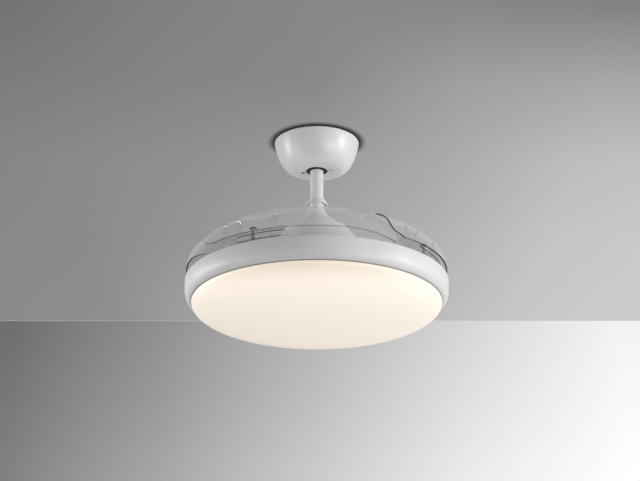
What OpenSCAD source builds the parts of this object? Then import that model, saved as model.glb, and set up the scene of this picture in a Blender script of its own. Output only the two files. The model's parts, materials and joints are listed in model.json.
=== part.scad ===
// Ceiling fan with four clear blades that fold away over a round light.
// The origin is on the fan's axis in the plane of the ceiling. +Z is up and the fan hangs below it.
// Azimuths count from -Y toward +X, so azimuth 0 faces the front.

/* [Ceiling bracket] */
// Length of the ceiling strip beyond the middle of each slot
bracket_end = 14; // [12:1:18]
// Width of the bracket's steel strip
bracket_w = 38; // [36:1:42]
// Thickness of the bracket's steel strip
bracket_t = 2; // [1.5:0.1:2.5]
// Distance between the two ceiling screws
ceiling_spacing = 104; // [98:1:108]
// Length of a ceiling slot, end to end
slot_l = 16; // [12:1:18]
// Width of a ceiling slot
slot_w = 6; // [4:0.5:8]
// Distance between the outer faces of the two legs
leg_span = 74; // [72:1:78]
// Radius of the seat hole that carries the ball
seat_r = 17.3; // [17.2:0.1:17.6]

/* [Canopy] */
// Largest outer radius of the canopy
canopy_r = 83; // [81:1:92]
// Height of the canopy
canopy_h = 59; // [56:1:66]
// Shadow gap between the ceiling and the canopy's rim
canopy_gap = 2; // [1:0.5:3]
// Wall of the canopy
canopy_t = 1.5; // [1:0.1:2]
// Radius of the canopy's flat underside
canopy_flat_r = 46; // [44:1:50]
// Radius of the hole that the rod comes through
canopy_hole_r = 21; // [20:0.5:23]
// Distance from the axis to each canopy screw
canopy_screw_r = 27.5; // [26:0.5:30]
// Turn of the line through the canopy screws
canopy_screw_turn = -18; // [-22:1:22]

/* [Ball and rod] */
// Radius of the hanger ball
ball_r = 20; // [19.5:0.1:21]
// Half height of the ball between its flats
ball_half_h = 14; // [12:0.5:14]
// Outer radius of the downrod
rod_r = 12.9; // [12:0.1:13.2]
// Wall of the downrod
rod_t = 2; // [1.5:0.1:3]
// Length of the downrod
rod_l = 139; // [120:1:260]
// How far the rod stands out of the ball's upper flat
rod_stand = 2; // [1:0.5:4]
// Radius of the cross pin and of the clevis pin
cross_pin_r = 3; // [2.5:0.1:3.5]
// Height of the cross pin above the ball's centre
cross_pin_up = 5; // [2:0.5:6]

/* [Rod collar] */
// Radius of the collar at its top
collar_top_r = 16.6; // [15.5:0.1:18]
// Radius of the collar at its open lower lip
collar_lip_r = 21; // [19:0.5:24]
// Height of the collar
collar_h = 11.5; // [10:0.5:14]
// Wall of the collar
collar_t = 1.8; // [1.5:0.1:2.2]

/* [Top cover] */
// Radius where the flared neck meets the sloping skirt
flare_r = 60; // [56:0.5:64]
// Height of the flared neck
flare_h = 46.3; // [44:0.5:50]
// Height of the neck's start above the cover's seat
neck_rise = 36.7; // [36:0.5:40]
// Length of the neck that is hidden in the collar
neck_hidden = 10; // [8:0.5:12]
// Outer radius of the skirt at its foot
skirt_r = 100; // [92:1:108]
// Outward run of the sloping skirt for each millimetre down
skirt_slope = 0.837; // [0.75:0.01:0.95]
// Straight band at the skirt's foot
skirt_band = 9; // [5:0.5:14]
// Wall of the cover
cover_t = 1.6; // [1.4:0.1:2]

/* [Coupling] */
// Outer radius of the coupling's socket
coupling_r = 16; // [15.6:0.1:16.4]
// How deep the rod sits in the coupling
coupling_grip = 18; // [17:0.5:18.5]
// Thickness of the floor and flange under the rod
coupling_floor = 10; // [9:0.5:12]
// Radius of the coupling's flange
flange_r = 34; // [32:0.5:40]
// Thickness of the coupling's flange
flange_t = 4; // [3:0.5:5]

/* [Motor] */
// Radius of the motor shaft
shaft_r = 8.5; // [8:0.5:9]
// Radius of the shaft's bore
shaft_bore_r = 5.5; // [5:0.1:6]
// Outer radius of a bearing
bearing_r = 17.5; // [16:0.5:19]
// Width of a bearing
bearing_h = 10; // [8:0.5:11]
// Distance from the coupling to the upper bearing
upper_spacer_l = 26; // [22:1:40]
// Outer radius of the rotor's shell
rotor_r = 70; // [67:1:74]
// Wall of the rotor's shell
rotor_t = 5; // [4.5:0.5:6]
// Distance from the upper bearing's top to the underside of the rotor
rotor_h = 93; // [88:1:104]
// Thickness of the rotor's base plate
base_t = 5; // [4:0.5:6]
// Outer radius of the rotor's base plate
base_r = 84; // [80:1:90]
// Thickness of the magnets
magnet_t = 6; // [4:0.5:7]
// Height of the magnets
magnet_h = 34; // [30:1:38]
// Number of magnets
magnet_count = 16; // [12:4:20]
// Running gap between magnets and stator
air_gap = 0.6; // [0.4:0.1:1]
// Height of the stator's laminations
stator_h = 30; // [24:1:34]
// Number of stator teeth
tooth_count = 12; // [9:3:12]
// Width of a stator tooth
tooth_w = 9; // [8:0.5:10]
// Radius of the stator's inner ring
yoke_r = 31; // [30:0.5:33]
// Build of the copper on each side of a tooth
coil_t = 3; // [2:0.1:3.4]

/* [Blade carrier] */
// Gap between the carrier's edge and the drum's wall
carrier_gap = 7; // [5:0.5:8]
// Thickness of the carrier plate
carrier_t = 3; // [2:0.5:4]
// Radius of the hole in the middle of the carrier
carrier_hole_r = 24; // [22:0.5:28]
// Radius of a lightening hole
lightening_r = 20; // [14:1:24]
// Distance from the axis to the lightening holes
lightening_at = 150; // [140:1:175]
// Number of screws that hold the carrier to the rotor
carrier_screw_count = 6; // [4:1:8]

/* [Blades] */
// How far the folded blades stand in from the drum's outer face
blade_step = 1.5; // [1:0.5:4]
// Height of the blades' dome above their rim
dome_h = 92; // [84:1:98]
// Thickness of a clear blade
blade_t = 2; // [1.6:0.1:2.4]
// Height of the gap between the drum's edge and the blades' rim
rim_gap = 21; // [19:0.5:24]
// Width of a blade at its root, measured toward the axis
blade_w = 128; // [122:1:132]
// Azimuth of the blade's root edge
root_angle = -51; // [-53:0.5:-50]
// Azimuth of the blade's tip
tip_angle = 35.5; // [30:0.5:36.5]
// How far the tip hangs below the rim
tip_droop = 16; // [8:0.5:16]

/* [Blade pivot] */
// Azimuth of the first blade's pivot
pivot_angle = -30; // [-33:0.5:-28]
// Radius of a pivot pin
pin_r = 4; // [3:0.5:4.5]
// Radius of the boss round a pivot pin
boss_r = 10; // [9:0.5:11]
// Gap between the drum's edge and the underside of a blade arm
arm_lift = 2.8; // [2.5:0.1:3.5]
// Wall of a blade arm
arm_t = 2.6; // [2:0.1:3]
// Azimuth of the blade arm's straight end
arm_end_angle = -14; // [-18:0.5:-12]
// How far a blade arm stands in from the blade's rim
arm_step = 11; // [10:0.5:12]
// Width of a blade arm, measured toward the axis
arm_w = 31; // [28:0.5:34]
// Height of a blade arm's roof above the blades' rim
arm_rise = 6; // [4:0.5:8]
// Height of the pivot boss above the blades' rim
boss_rise = 12; // [10:0.5:14]
// Radius of the posts that join a blade to its arm
post_r = 6; // [5.5:0.1:6.5]
// Height of the return spring's space under the boss
spring_h = 12.5; // [12:0.5:13]
// Radius of the return spring's wire
wire_r = 0.8; // [0.6:0.05:0.85]
// Radius of the return spring at the middle of its wire
spring_r = 9.2; // [8.6:0.1:9.6]
// Number of turns of a return spring
spring_turns = 5; // [3:1:5]
// Length of each straight leg of a return spring
spring_leg = 6; // [4:0.5:7]

/* [Drum] */
// Outer radius of the drum's ring
drum_r = 251.5; // [251:0.5:258]
// Height of the drum's ring
drum_h = 41.1; // [40:0.5:46]
// Height of the rounding at the foot of the ring
drum_round_h = 24.7; // [20:0.5:26]
// Wall of the ring
drum_t = 3; // [2.5:0.1:3.5]
// Depth of the carrier's top face below the ring's edge
carrier_sink = 4.4; // [4:0.2:6]
// Gap between the carrier and the deck
deck_gap = 6; // [5.5:0.5:8]
// Thickness of the deck
deck_t = 2; // [1.5:0.5:3]
// Number of screws that hold the deck
deck_screw_count = 8; // [6:1:12]

/* [Light] */
// How far the diffuser stands in from the drum's outer face
diffuser_step = 13; // [12:0.5:15]
// Depth of the diffuser's bowl
diffuser_h = 43.4; // [38:0.5:60]
// Wall of the diffuser
diffuser_t = 2.5; // [2:0.1:3]
// Height of the seam between the ring and the diffuser
seam_h = 1.2; // [1:0.1:1.6]
// Thickness of the seal in the seam
seal_t = 0.9; // [0.6:0.1:0.9]
// How far the diffuser's neck stands in from the diffuser's edge
neck_step = 8; // [7.5:0.5:9]
// Turn that frees the diffuser
twist = 14; // [12:1:16]
// Number of lugs on the diffuser
lug_count = 4; // [3:1:6]
// Angle that a lug spans
lug_span = 10; // [6:1:11]
// Gap between the diffuser's neck and the panel that carries the light
panel_gap = 5; // [3:0.5:20]
// Thickness of the panel that carries the light
panel_t = 1.5; // [1:0.5:2]
// Height of the driver's case
driver_h = 17; // [14:0.5:18]
// Length of the driver's case
driver_l = 118; // [90:1:130]
// Width of the driver's case
driver_w = 54; // [40:1:60]
// Height of the receiver's case
receiver_h = 15; // [12:0.5:18]
// Length of the receiver's case
receiver_l = 92; // [70:1:100]
// Width of the receiver's case
receiver_w = 40; // [30:1:50]
// Distance from the axis to the middle of each case
case_at = 66; // [62:1:90]
// Number of standoffs that carry the light panel
standoff_count = 6; // [3:1:8]
// Number of light chips
chip_count = 48; // [24:4:60]

/* [Hidden] */
$fn = 96;

// Clearances
fit = 0.05;
race_gap = 0.1;
seat = 0.3;
blade_count = 4;

// Length of the strip, and heights from the ceiling down to the rod
bracket_l = ceiling_spacing + 2 * bracket_end;
strip_top_z = -canopy_gap - canopy_h + canopy_t + bracket_t;
ball_z = strip_top_z + sqrt(pow(ball_r, 2) - pow(seat_r, 2)) + fit;
rod_top_z = ball_z + ball_half_h + rod_stand;
rod_bottom_z = rod_top_z - rod_l;

// Heights of the coupling, the cover and the motor
coupling_top_z = rod_bottom_z + coupling_grip;
flange_top_z = rod_bottom_z - coupling_floor + flange_t;
flange_bottom_z = flange_top_z - flange_t;
clevis_z = rod_bottom_z + coupling_grip / 2 + 2;
set_screw_z = rod_bottom_z + coupling_grip / 4;
neck_z = flange_top_z + neck_rise;
neck_r = rod_r + 2 * fit + cover_t;
collar_bottom_z = neck_z + neck_hidden - 4;
bearing_top_z = flange_bottom_z - upper_spacer_l;
rotor_roof_z = bearing_top_z - bearing_h;
carrier_top_z = bearing_top_z - rotor_h;
base_top_z = carrier_top_z + base_t;
lower_bearing_z = carrier_top_z + 2 + race_gap + bearing_h;
stator_top_z = (rotor_roof_z + lower_bearing_z) / 2 + stator_h / 2;
stator_r = rotor_r - rotor_t - fit - magnet_t - air_gap;
tip_ring_t = 5;

// Heights of the drum and the light
carrier_bottom_z = carrier_top_z - carrier_t;
deck_top_z = carrier_bottom_z - deck_gap;
deck_bottom_z = deck_top_z - deck_t;
drum_top_z = carrier_top_z + carrier_sink;
drum_bottom_z = drum_top_z - drum_h;
seam_z = drum_bottom_z - seam_h;
panel_top_z = deck_bottom_z - max(driver_h, receiver_h) - 1.5;
panel_bottom_z = panel_top_z - panel_t;
board_t = 1.6;
nut_h = 7;
shaft_bottom_z = deck_bottom_z - nut_h - 1.5;

// Radii that follow the drum
ring_inner_r = drum_r - drum_t;
carrier_r = ring_inner_r - carrier_gap;
blade_r = drum_r - blade_step;
blade_inner_r = blade_r - blade_w;
arm_r = blade_r - arm_step;
arm_inner_r = arm_r - arm_w;
pivot_at = arm_r - boss_r;
diffuser_r = drum_r - diffuser_step;
collar_neck_r = diffuser_r - neck_step;
panel_r = collar_neck_r - diffuser_t - panel_gap;
standoff_at = panel_r - 14;
board_outer_r = standoff_at - 19;
board_inner_r = 96;

// The ledges inside the drum's ring
deck_ledge_r = ring_inner_r - 11;
bayonet_r = collar_neck_r + 1.5;
bayonet_top_z = drum_bottom_z + 10.5;
bayonet_t = 2.5;
lug_h = 3;
lug_out = 3.3;

// The blades
rim_z = drum_top_z + rim_gap;
arm_bottom_z = drum_top_z + arm_lift;
boss_bottom_z = carrier_top_z + spring_h;
boss_top_z = rim_z + boss_rise;
arm_top_z = rim_z + arm_rise;
clip_t = 1;
boss_step = 2;
post_at = arm_r - post_r - 0.5;
post_gap = 1.1;
lip_t = 1.8;

// The M3 pan head screw that holds the thin pieces
m3_r = 1.5;
m3_head_r = 2.9;
m3_head_h = 1.7;
carrier_screw_l = carrier_t + base_t + 9;
carrier_screw_at = rotor_r - rotor_t / 2;
carrier_screw_start = 15;

// Colours
white_paint = [0.93, 0.93, 0.92];
white_plastic = [0.88, 0.88, 0.87];
clear_plastic = [0.75, 0.79, 0.82, 0.45];
opal = [1.0, 0.95, 0.88];
steel = [0.72, 0.73, 0.75];
dark_steel = [0.35, 0.36, 0.38];
cast_aluminium = [0.78, 0.79, 0.8];
copper = [0.72, 0.42, 0.22];
black_plastic = [0.12, 0.12, 0.13];
board_white = [0.95, 0.95, 0.93];
chip_yellow = [0.97, 0.85, 0.45];
grey_rubber = [0.45, 0.45, 0.45];

// ---------- Geometry helpers ----------

// A point at a distance and an azimuth.
function polar(r, azimuth) = [r * sin(azimuth), -r * cos(azimuth)];

// The direction of a path at one of its points.
function heading(path, i) =
    let (ahead = path[min(i + 1, len(path) - 1)], behind = path[max(i - 1, 0)])
    (ahead - behind) / norm(ahead - behind);

// The path moved sideways, to the right of its direction.
function beside(path, distance) =
    [for (i = [0:len(path) - 1])
        let (d = heading(path, i)) path[i] + distance * [d[1], -d[0]]];

function reversed(path) = [for (i = [len(path) - 1:-1:0]) path[i]];

// A closed wall outline along a path, with its thickness to the right.
function wall(path, thickness) = concat(path, reversed(beside(path, thickness)));

// A smooth curve through points, with a number of steps between each two.
function through(points, steps) =
    let (n = len(points))
    concat([for (i = [0:n - 2], k = [0:steps - 1])
        let (
            t = k / steps,
            p0 = points[max(i - 1, 0)], p1 = points[i],
            p2 = points[i + 1], p3 = points[min(i + 2, n - 1)])
        0.5 * (2 * p1 + (p2 - p0) * t + (2 * p0 - 5 * p1 + 4 * p2 - p3) * t * t
            + (3 * p1 - p0 - 3 * p2 + p3) * t * t * t)], [points[n - 1]]);

module revolve(points) rotate_extrude() polygon(points);

// A sector of a turned shape between two azimuths, from an outline or from a list of points.
module sector(from, to)
    rotate([0, 0, from - 90]) rotate_extrude(angle = to - from) children();
module slice(from, to, points) sector(from, to) polygon(points);

module tube(outer, inner, bottom, top)
    translate([0, 0, bottom]) difference() {
        cylinder(h = top - bottom, r = outer);
        translate([0, 0, -1]) cylinder(h = top - bottom + 2, r = inner);
    }

// A pan head screw: the head stands on z = 0 and the shank goes down.
module screw(shank_r, shank_l, head_r, head_h)
    difference() {
        union() {
            cylinder(h = head_h, r1 = head_r, r2 = 0.75 * head_r);
            translate([0, 0, -shank_l]) cylinder(h = shank_l + 0.5, r = shank_r);
        }
        translate([0, 0, 0.45 * head_h]) cylinder(h = head_h, r = 0.45 * head_r, $fn = 6);
    }

// Turns what follows to each of a number of even places round the axis.
module around(count, start = 0)
    for (i = [0:count - 1]) rotate([0, 0, start + 360 * i / count]) children();

module rounded_rectangle(length, width, radius) {
    square([length - 2 * radius, width], center = true);
    square([length, width - 2 * radius], center = true);
    for (x = [-1, 1], y = [-1, 1])
        translate([x * (length / 2 - radius), y * (width / 2 - radius)]) circle(r = radius);
}

// ---------- Ceiling side ----------

module slot(length, width)
    for (x = [-1, 1]) {
        translate([x * (length - width) / 2, 0]) circle(r = width / 2);
        square([length - width, width], center = true);
    }

module ceiling_bracket() {
    leg_top = -bracket_t / 2;
    leg_l = -strip_top_z + bracket_t / 2 + leg_top;
    color(dark_steel) difference() {
        union() {
            translate([0, 0, -bracket_t]) linear_extrude(bracket_t)
                rounded_rectangle(bracket_l, bracket_w, 6);
            for (side = [-1, 1])
                translate([side * (leg_span - bracket_t) / 2, 0, leg_top - leg_l / 2])
                    cube([bracket_t, bracket_w - 8, leg_l], center = true);
            translate([0, 0, strip_top_z - bracket_t]) linear_extrude(bracket_t)
                rounded_rectangle(leg_span, bracket_w, 4);
        }
        for (side = [-1, 1])
            translate([side * ceiling_spacing / 2, 0, -2 * bracket_t])
                linear_extrude(3 * bracket_t) slot(slot_l, slot_w);
        translate([0, 0, strip_top_z - 2 * bracket_t])
            cylinder(h = 3 * bracket_t, r = seat_r);
        translate([0, 0, -2 * bracket_t]) cylinder(h = 3 * bracket_t, r = bracket_w / 4);
        for (side = [0, 1])
            rotate([0, 0, canopy_screw_turn + 180 * side])
                translate([canopy_screw_r, 0, strip_top_z - 2 * bracket_t])
                    cylinder(h = 3 * bracket_t, r = m3_r + fit);
    }
}

// The canopy's bowl from its rim down to its flat underside.
function canopy_path(steps) =
    [for (i = [0:steps])
        let (
            down = sin(90 * i / steps),
            flat_share = pow(canopy_flat_r / canopy_r, 6),
            r = canopy_r * pow(1 - (1 - flat_share) * pow(down, 1.12), 1 / 6))
        [r, -canopy_gap - canopy_h * down]];

module canopy() {
    floor_z = -canopy_gap - canopy_h;
    color(white_paint) difference() {
        revolve(wall(concat(canopy_path(12), [[canopy_hole_r, floor_z]]), canopy_t));
        for (side = [0, 1])
            rotate([0, 0, canopy_screw_turn + 180 * side])
                translate([canopy_screw_r, 0, floor_z - 1]) {
                    cylinder(h = canopy_t + 2, r = 1.9);
                    translate([0, 3, 0]) cylinder(h = canopy_t + 2, r = 3.6);
                    translate([-1.9, 0, 0]) cube([3.8, 3, canopy_t + 2]);
                }
    }
}

module canopy_screws() {
    floor_z = -canopy_gap - canopy_h;
    color(steel) for (side = [0, 1])
        rotate([0, 0, canopy_screw_turn + 180 * side])
            translate([canopy_screw_r, 0, floor_z]) rotate([180, 0, 0])
                screw(m3_r, canopy_t + bracket_t + 2, m3_head_r, m3_head_h);
}

module terminal_block() {
    block = [12, 26, 16];
    at = [leg_span / 2 + block[0] / 2, 0, strip_top_z / 2];
    color(white_plastic) difference() {
        translate(at) cube(block, center = true);
        for (i = [-1:1])
            translate([at[0], i * 8, at[2] - block[2]]) cylinder(h = 2 * block[2], r = 2);
        for (i = [-1:1])
            translate([at[0], i * 8, at[2]]) rotate([0, 90, 0])
                cylinder(h = block[0], r = 1.6);
    }
}

// ---------- Ball, rod and coupling ----------

module hanger_ball()
    color(black_plastic) translate([0, 0, ball_z]) difference() {
        intersection() {
            sphere(r = ball_r);
            cube([3 * ball_r, 3 * ball_r, 2 * ball_half_h], center = true);
        }
        cylinder(h = 3 * ball_r, r = rod_r + fit, center = true);
        translate([0, 0, cross_pin_up]) rotate([0, 90, 0])
            cylinder(h = 3 * ball_r, r = cross_pin_r + fit, center = true);
    }

module ball_cross_pin()
    color(steel) translate([0, 0, ball_z + cross_pin_up]) rotate([0, 90, 0])
        cylinder(h = 2 * sqrt(pow(ball_r, 2) - pow(cross_pin_up + cross_pin_r, 2)) - 0.6,
            r = cross_pin_r, center = true);

module downrod()
    color(white_paint) difference() {
        tube(rod_r, rod_r - rod_t, rod_bottom_z, rod_top_z);
        for (z = [ball_z + cross_pin_up, clevis_z])
            translate([0, 0, z]) rotate([0, 90, 0])
                cylinder(h = 3 * rod_r, r = cross_pin_r + fit, center = true);
    }

module rod_collar() {
    top_z = collar_bottom_z + collar_h;
    color(white_paint) revolve([
        [rod_r + fit, top_z],
        [collar_top_r - 1, top_z],
        [collar_top_r, top_z - 1.4],
        [collar_lip_r, collar_bottom_z + 1.5],
        [collar_lip_r, collar_bottom_z],
        [collar_lip_r - collar_t, collar_bottom_z],
        [collar_top_r - collar_t + 0.6, top_z - 3.4],
        [rod_r + fit, top_z - 3.4]]);
}

module motor_coupling()
    color(steel) difference() {
        union() {
            translate([0, 0, flange_bottom_z])
                cylinder(h = coupling_top_z - flange_bottom_z, r = coupling_r);
            translate([0, 0, flange_bottom_z]) cylinder(h = flange_t, r = flange_r);
        }
        translate([0, 0, rod_bottom_z]) cylinder(h = coupling_grip + 1, r = rod_r + fit);
        translate([0, 0, flange_bottom_z - 1])
            cylinder(h = coupling_floor + 2, r = shaft_r + fit);
        translate([0, 0, clevis_z]) rotate([0, 90, 0])
            cylinder(h = 3 * coupling_r, r = cross_pin_r + fit, center = true);
        translate([0, 0, set_screw_z]) rotate([90, 0, 0])
            cylinder(h = 3 * coupling_r, r = 2.5 + fit, center = true);
        around(3, 90) translate([flange_r - 7, 0, flange_bottom_z - 1])
            cylinder(h = flange_t + 2, r = 2 + fit);
    }

module coupling_pin() {
    head = 2;
    color(steel) translate([-coupling_r, 0, clevis_z]) rotate([0, 90, 0]) {
        translate([0, 0, -head]) cylinder(h = head, r = cross_pin_r + 1.8);
        cylinder(h = 2 * coupling_r + 3.5, r = cross_pin_r);
    }
}

module coupling_clip()
    color(dark_steel) translate([coupling_r + 0.6, 0, clevis_z]) rotate([0, 90, 0])
        difference() {
            cylinder(h = 1, r = cross_pin_r + 2.6);
            translate([0, 0, -1]) cylinder(h = 3, r = cross_pin_r + fit);
            translate([0, -1.5, -1]) cube([2 * cross_pin_r + 6, 3, 3]);
        }

module coupling_set_screws() {
    grub_l = coupling_r - rod_r;
    color(dark_steel) for (side = [0, 1])
        rotate([0, 0, 180 * side]) translate([0, rod_r, set_screw_z])
            rotate([-90, 0, 0]) difference() {
                cylinder(h = grub_l, r = 2.5);
                translate([0, 0, grub_l / 2]) cylinder(h = grub_l, r = 1.2, $fn = 6);
            }
}

// ---------- Top cover ----------

// Radius of the flare's outer face at a share of its height.
function flare_at(share) = neck_r + (flare_r - neck_r) * pow(share, 1.7);

// The cover's outer face: neck, flare, sloping skirt and band.
function cover_path(steps) =
    let (foot_z = neck_z - flare_h - (skirt_r - flare_r) / skirt_slope)
    concat(
        [[neck_r, neck_z + neck_hidden]],
        [for (i = [0:steps]) [flare_at(i / steps), neck_z - flare_h * i / steps]],
        [[skirt_r - 1, foot_z + 1.4], [skirt_r, foot_z - 1], [skirt_r, foot_z - skirt_band]]);

module motor_top_cover() {
    seat_r = flare_at((neck_rise - cover_t) / flare_h) - cover_t / 3;
    color(white_paint) difference() {
        union() {
            revolve(wall(cover_path(14), cover_t));
            tube(seat_r, coupling_r + 1, flange_top_z, flange_top_z + cover_t);
        }
        around(3, 90) translate([flange_r - 7, 0, flange_top_z - 1])
            cylinder(h = cover_t + 2, r = 2 + fit);
    }
}

module cover_screws()
    color(steel) around(3, 90) translate([flange_r - 7, 0, flange_top_z + cover_t])
        screw(2, cover_t + flange_t, 3.6, 2.4);

// ---------- Motor ----------

module motor_shaft()
    color(steel) tube(shaft_r, shaft_bore_r, shaft_bottom_z, rod_bottom_z - 0.5);

module shaft_spacers()
    color(steel) {
        tube(shaft_r + 3.5, shaft_r + fit, bearing_top_z, flange_bottom_z);
        tube(shaft_r + 3.5, shaft_r + fit, deck_top_z, lower_bearing_z - bearing_h);
    }

module bearing(top_z)
    color(dark_steel) difference() {
        tube(bearing_r, shaft_r + fit, top_z - bearing_h, top_z);
        for (z = [top_z - 0.6, top_z - bearing_h - 0.4])
            tube(bearing_r - 2.5, shaft_r + 2.5, z, z + 1);
    }

module upper_bearing() bearing(bearing_top_z);

module lower_bearing() bearing(lower_bearing_z);

module stator_outline() {
    difference() {
        union() {
            circle(r = yoke_r);
            around(tooth_count) {
                translate([0, -tooth_w / 2]) square([stator_r - 2, tooth_w]);
                intersection() {
                    difference() {
                        circle(r = stator_r);
                        circle(r = stator_r - tip_ring_t);
                    }
                    translate([0, -tooth_w]) square([stator_r, 2 * tooth_w]);
                }
            }
        }
        circle(r = shaft_r + fit);
    }
}

module stator_core()
    color(dark_steel) translate([0, 0, stator_top_z - stator_h])
        linear_extrude(stator_h) stator_outline();

module stator_windings() {
    coil_l = stator_r - tip_ring_t - yoke_r - 3;
    color(copper) around(tooth_count)
        translate([yoke_r + 1.5 + coil_l / 2, 0, stator_top_z - stator_h / 2])
            difference() {
                cube([coil_l, tooth_w + 2 * coil_t, stator_h + 3 * coil_t], center = true);
                cube([coil_l + 1, tooth_w + 2 * fit, stator_h + 2 * fit], center = true);
            }
}

module shaft_nut()
    color(steel) translate([0, 0, deck_bottom_z - nut_h]) difference() {
        union() {
            cylinder(h = nut_h - 1.5, r = 15, $fn = 6);
            translate([0, 0, nut_h - 1.5]) cylinder(h = 1.5, r = 18);
        }
        translate([0, 0, -1]) cylinder(h = nut_h + 2, r = shaft_r + fit);
    }

module rotor_shell() {
    wall_top_z = rotor_roof_z + 4;
    color(cast_aluminium) difference() {
        union() {
            revolve([[0, wall_top_z], [rotor_r - 6, wall_top_z], [rotor_r, wall_top_z - 6],
                [rotor_r, base_top_z], [rotor_r - rotor_t, base_top_z],
                [rotor_r - rotor_t, wall_top_z - 7], [rotor_r - rotor_t - 3, rotor_roof_z],
                [0, rotor_roof_z]]);
            translate([0, 0, rotor_roof_z])
                cylinder(h = bearing_h + 1.5, r = bearing_r + 4);
        }
        translate([0, 0, rotor_roof_z - 1]) cylinder(h = 2 * bearing_h, r = bearing_r + fit);
        around(carrier_screw_count, carrier_screw_start) translate([carrier_screw_at, 0, base_top_z - 1])
            cylinder(h = carrier_screw_l - carrier_t - base_t + 2, r = m3_r + fit);
        around(8) translate([rotor_r - 22, 0, rotor_roof_z - 1]) cylinder(h = 8, r = 7);
    }
    // The thin shoulder that the bearing stands on
    color(cast_aluminium) {
        tube(bearing_r + 2, bearing_r + fit, rotor_roof_z - 2, rotor_roof_z + 1);
        tube(bearing_r + 2, shaft_r + 5, rotor_roof_z - 2, rotor_roof_z - race_gap);
    }
}

module rotor_magnets() {
    outer = rotor_r - rotor_t - fit;
    inner = outer - magnet_t;
    top_z = stator_top_z - stator_h / 2 + magnet_h / 2;
    color(dark_steel) for (i = [0:magnet_count - 1])
        slice(360 * i / magnet_count, 360 * (i + 0.92) / magnet_count,
            [[inner, top_z - magnet_h], [outer, top_z - magnet_h],
                [outer, top_z], [inner, top_z]]);
}

module rotor_base()
    color(cast_aluminium) difference() {
        union() {
            translate([0, 0, carrier_top_z]) cylinder(h = base_t, r = base_r);
            translate([0, 0, carrier_top_z])
                cylinder(h = lower_bearing_z - carrier_top_z, r = bearing_r + 4);
        }
        translate([0, 0, carrier_top_z + 2]) cylinder(h = 2 * bearing_h, r = bearing_r + fit);
        translate([0, 0, carrier_top_z - 1]) cylinder(h = 4, r = shaft_r + 5);
        around(carrier_screw_count, carrier_screw_start) translate([carrier_screw_at, 0, carrier_top_z - 1])
            cylinder(h = base_t + 2, r = m3_r + fit);
    }

// ---------- Blade carrier and pivots ----------

module blade_carrier()
    color(white_plastic) translate([0, 0, carrier_bottom_z]) difference() {
        union() {
            cylinder(h = carrier_t, r = carrier_r);
            translate([0, 0, carrier_t]) tube(carrier_r, carrier_r - lip_t, 0, 2.5);
            translate([0, 0, carrier_t]) tube(base_r + 2 + lip_t, base_r + 2, 0, 2);
        }
        translate([0, 0, -1]) cylinder(h = carrier_t + 5, r = carrier_hole_r);
        around(carrier_screw_count, carrier_screw_start) translate([carrier_screw_at, 0, -1])
            cylinder(h = carrier_t + 2, r = m3_r + fit);
        around(2 * blade_count, pivot_angle) translate([lightening_at, 0, -1])
            cylinder(h = carrier_t + 2, r = lightening_r);
        around(blade_count, pivot_angle - 90) translate([pivot_at, 0, -1])
            cylinder(h = carrier_t + 2, r = pin_r + fit);
    }

module carrier_screws()
    color(steel) around(carrier_screw_count, carrier_screw_start)
        translate([carrier_screw_at, 0, carrier_bottom_z]) rotate([180, 0, 0])
            screw(m3_r, carrier_screw_l, m3_head_r, m3_head_h);

module at_pivots() around(blade_count, pivot_angle - 90) translate([pivot_at, 0, 0]) children();

module pivot_pins() {
    head = 2;
    top_z = boss_top_z + clip_t + 1.5;
    color(steel) at_pivots() {
        translate([0, 0, carrier_bottom_z - head]) cylinder(h = head, r = pin_r + 3);
        difference() {
            translate([0, 0, carrier_bottom_z]) cylinder(h = top_z - carrier_bottom_z, r = pin_r);
            tube(pin_r + 1, pin_r - 0.8, boss_top_z + 0.1, boss_top_z + clip_t + 0.3);
        }
    }
}

module pin_clips()
    color(dark_steel) at_pivots() translate([0, 0, boss_top_z + 0.2]) difference() {
        cylinder(h = clip_t, r = pin_r + 2.2);
        translate([0, 0, -1]) cylinder(h = clip_t + 2, r = pin_r - 0.75);
        translate([0, -1.8, -1]) cube([2 * pin_r, 3.6, clip_t + 2]);
    }

module pivot_bushes()
    color(white_plastic) at_pivots()
        tube(pin_r + 2.2, pin_r + fit, carrier_top_z, boss_bottom_z - 0.1);

// The middle line of a return spring: a leg, the turns and the other leg.
spring_rise = spring_h - 2 * wire_r - 2 * seat;
spring_sides = 6;
spring_steps = 8;
function spring_point(turn) =
    [spring_r * cos(360 * turn), spring_r * sin(360 * turn),
        carrier_top_z + seat + wire_r + spring_rise * turn / spring_turns];
function spring_line() =
    let (
        first = spring_point(0),
        last = spring_point(spring_turns))
    concat(
        [for (i = [0:1]) first - [0, spring_leg * (2 - i) / 2, 0]],
        [for (i = [0:spring_steps * spring_turns]) spring_point(i / spring_steps)],
        [for (i = [1:2]) last + [0, spring_leg * i / 2, 0]]);

// The least distance between two stretches of the line that are at least half a turn apart.
function spring_gap(line) =
    min([for (i = [0:len(line) - 1], k = [0:len(line) - 1])
        if (k - i >= spring_steps / 2) norm(line[k] - line[i])]) - 2 * wire_r;

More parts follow.
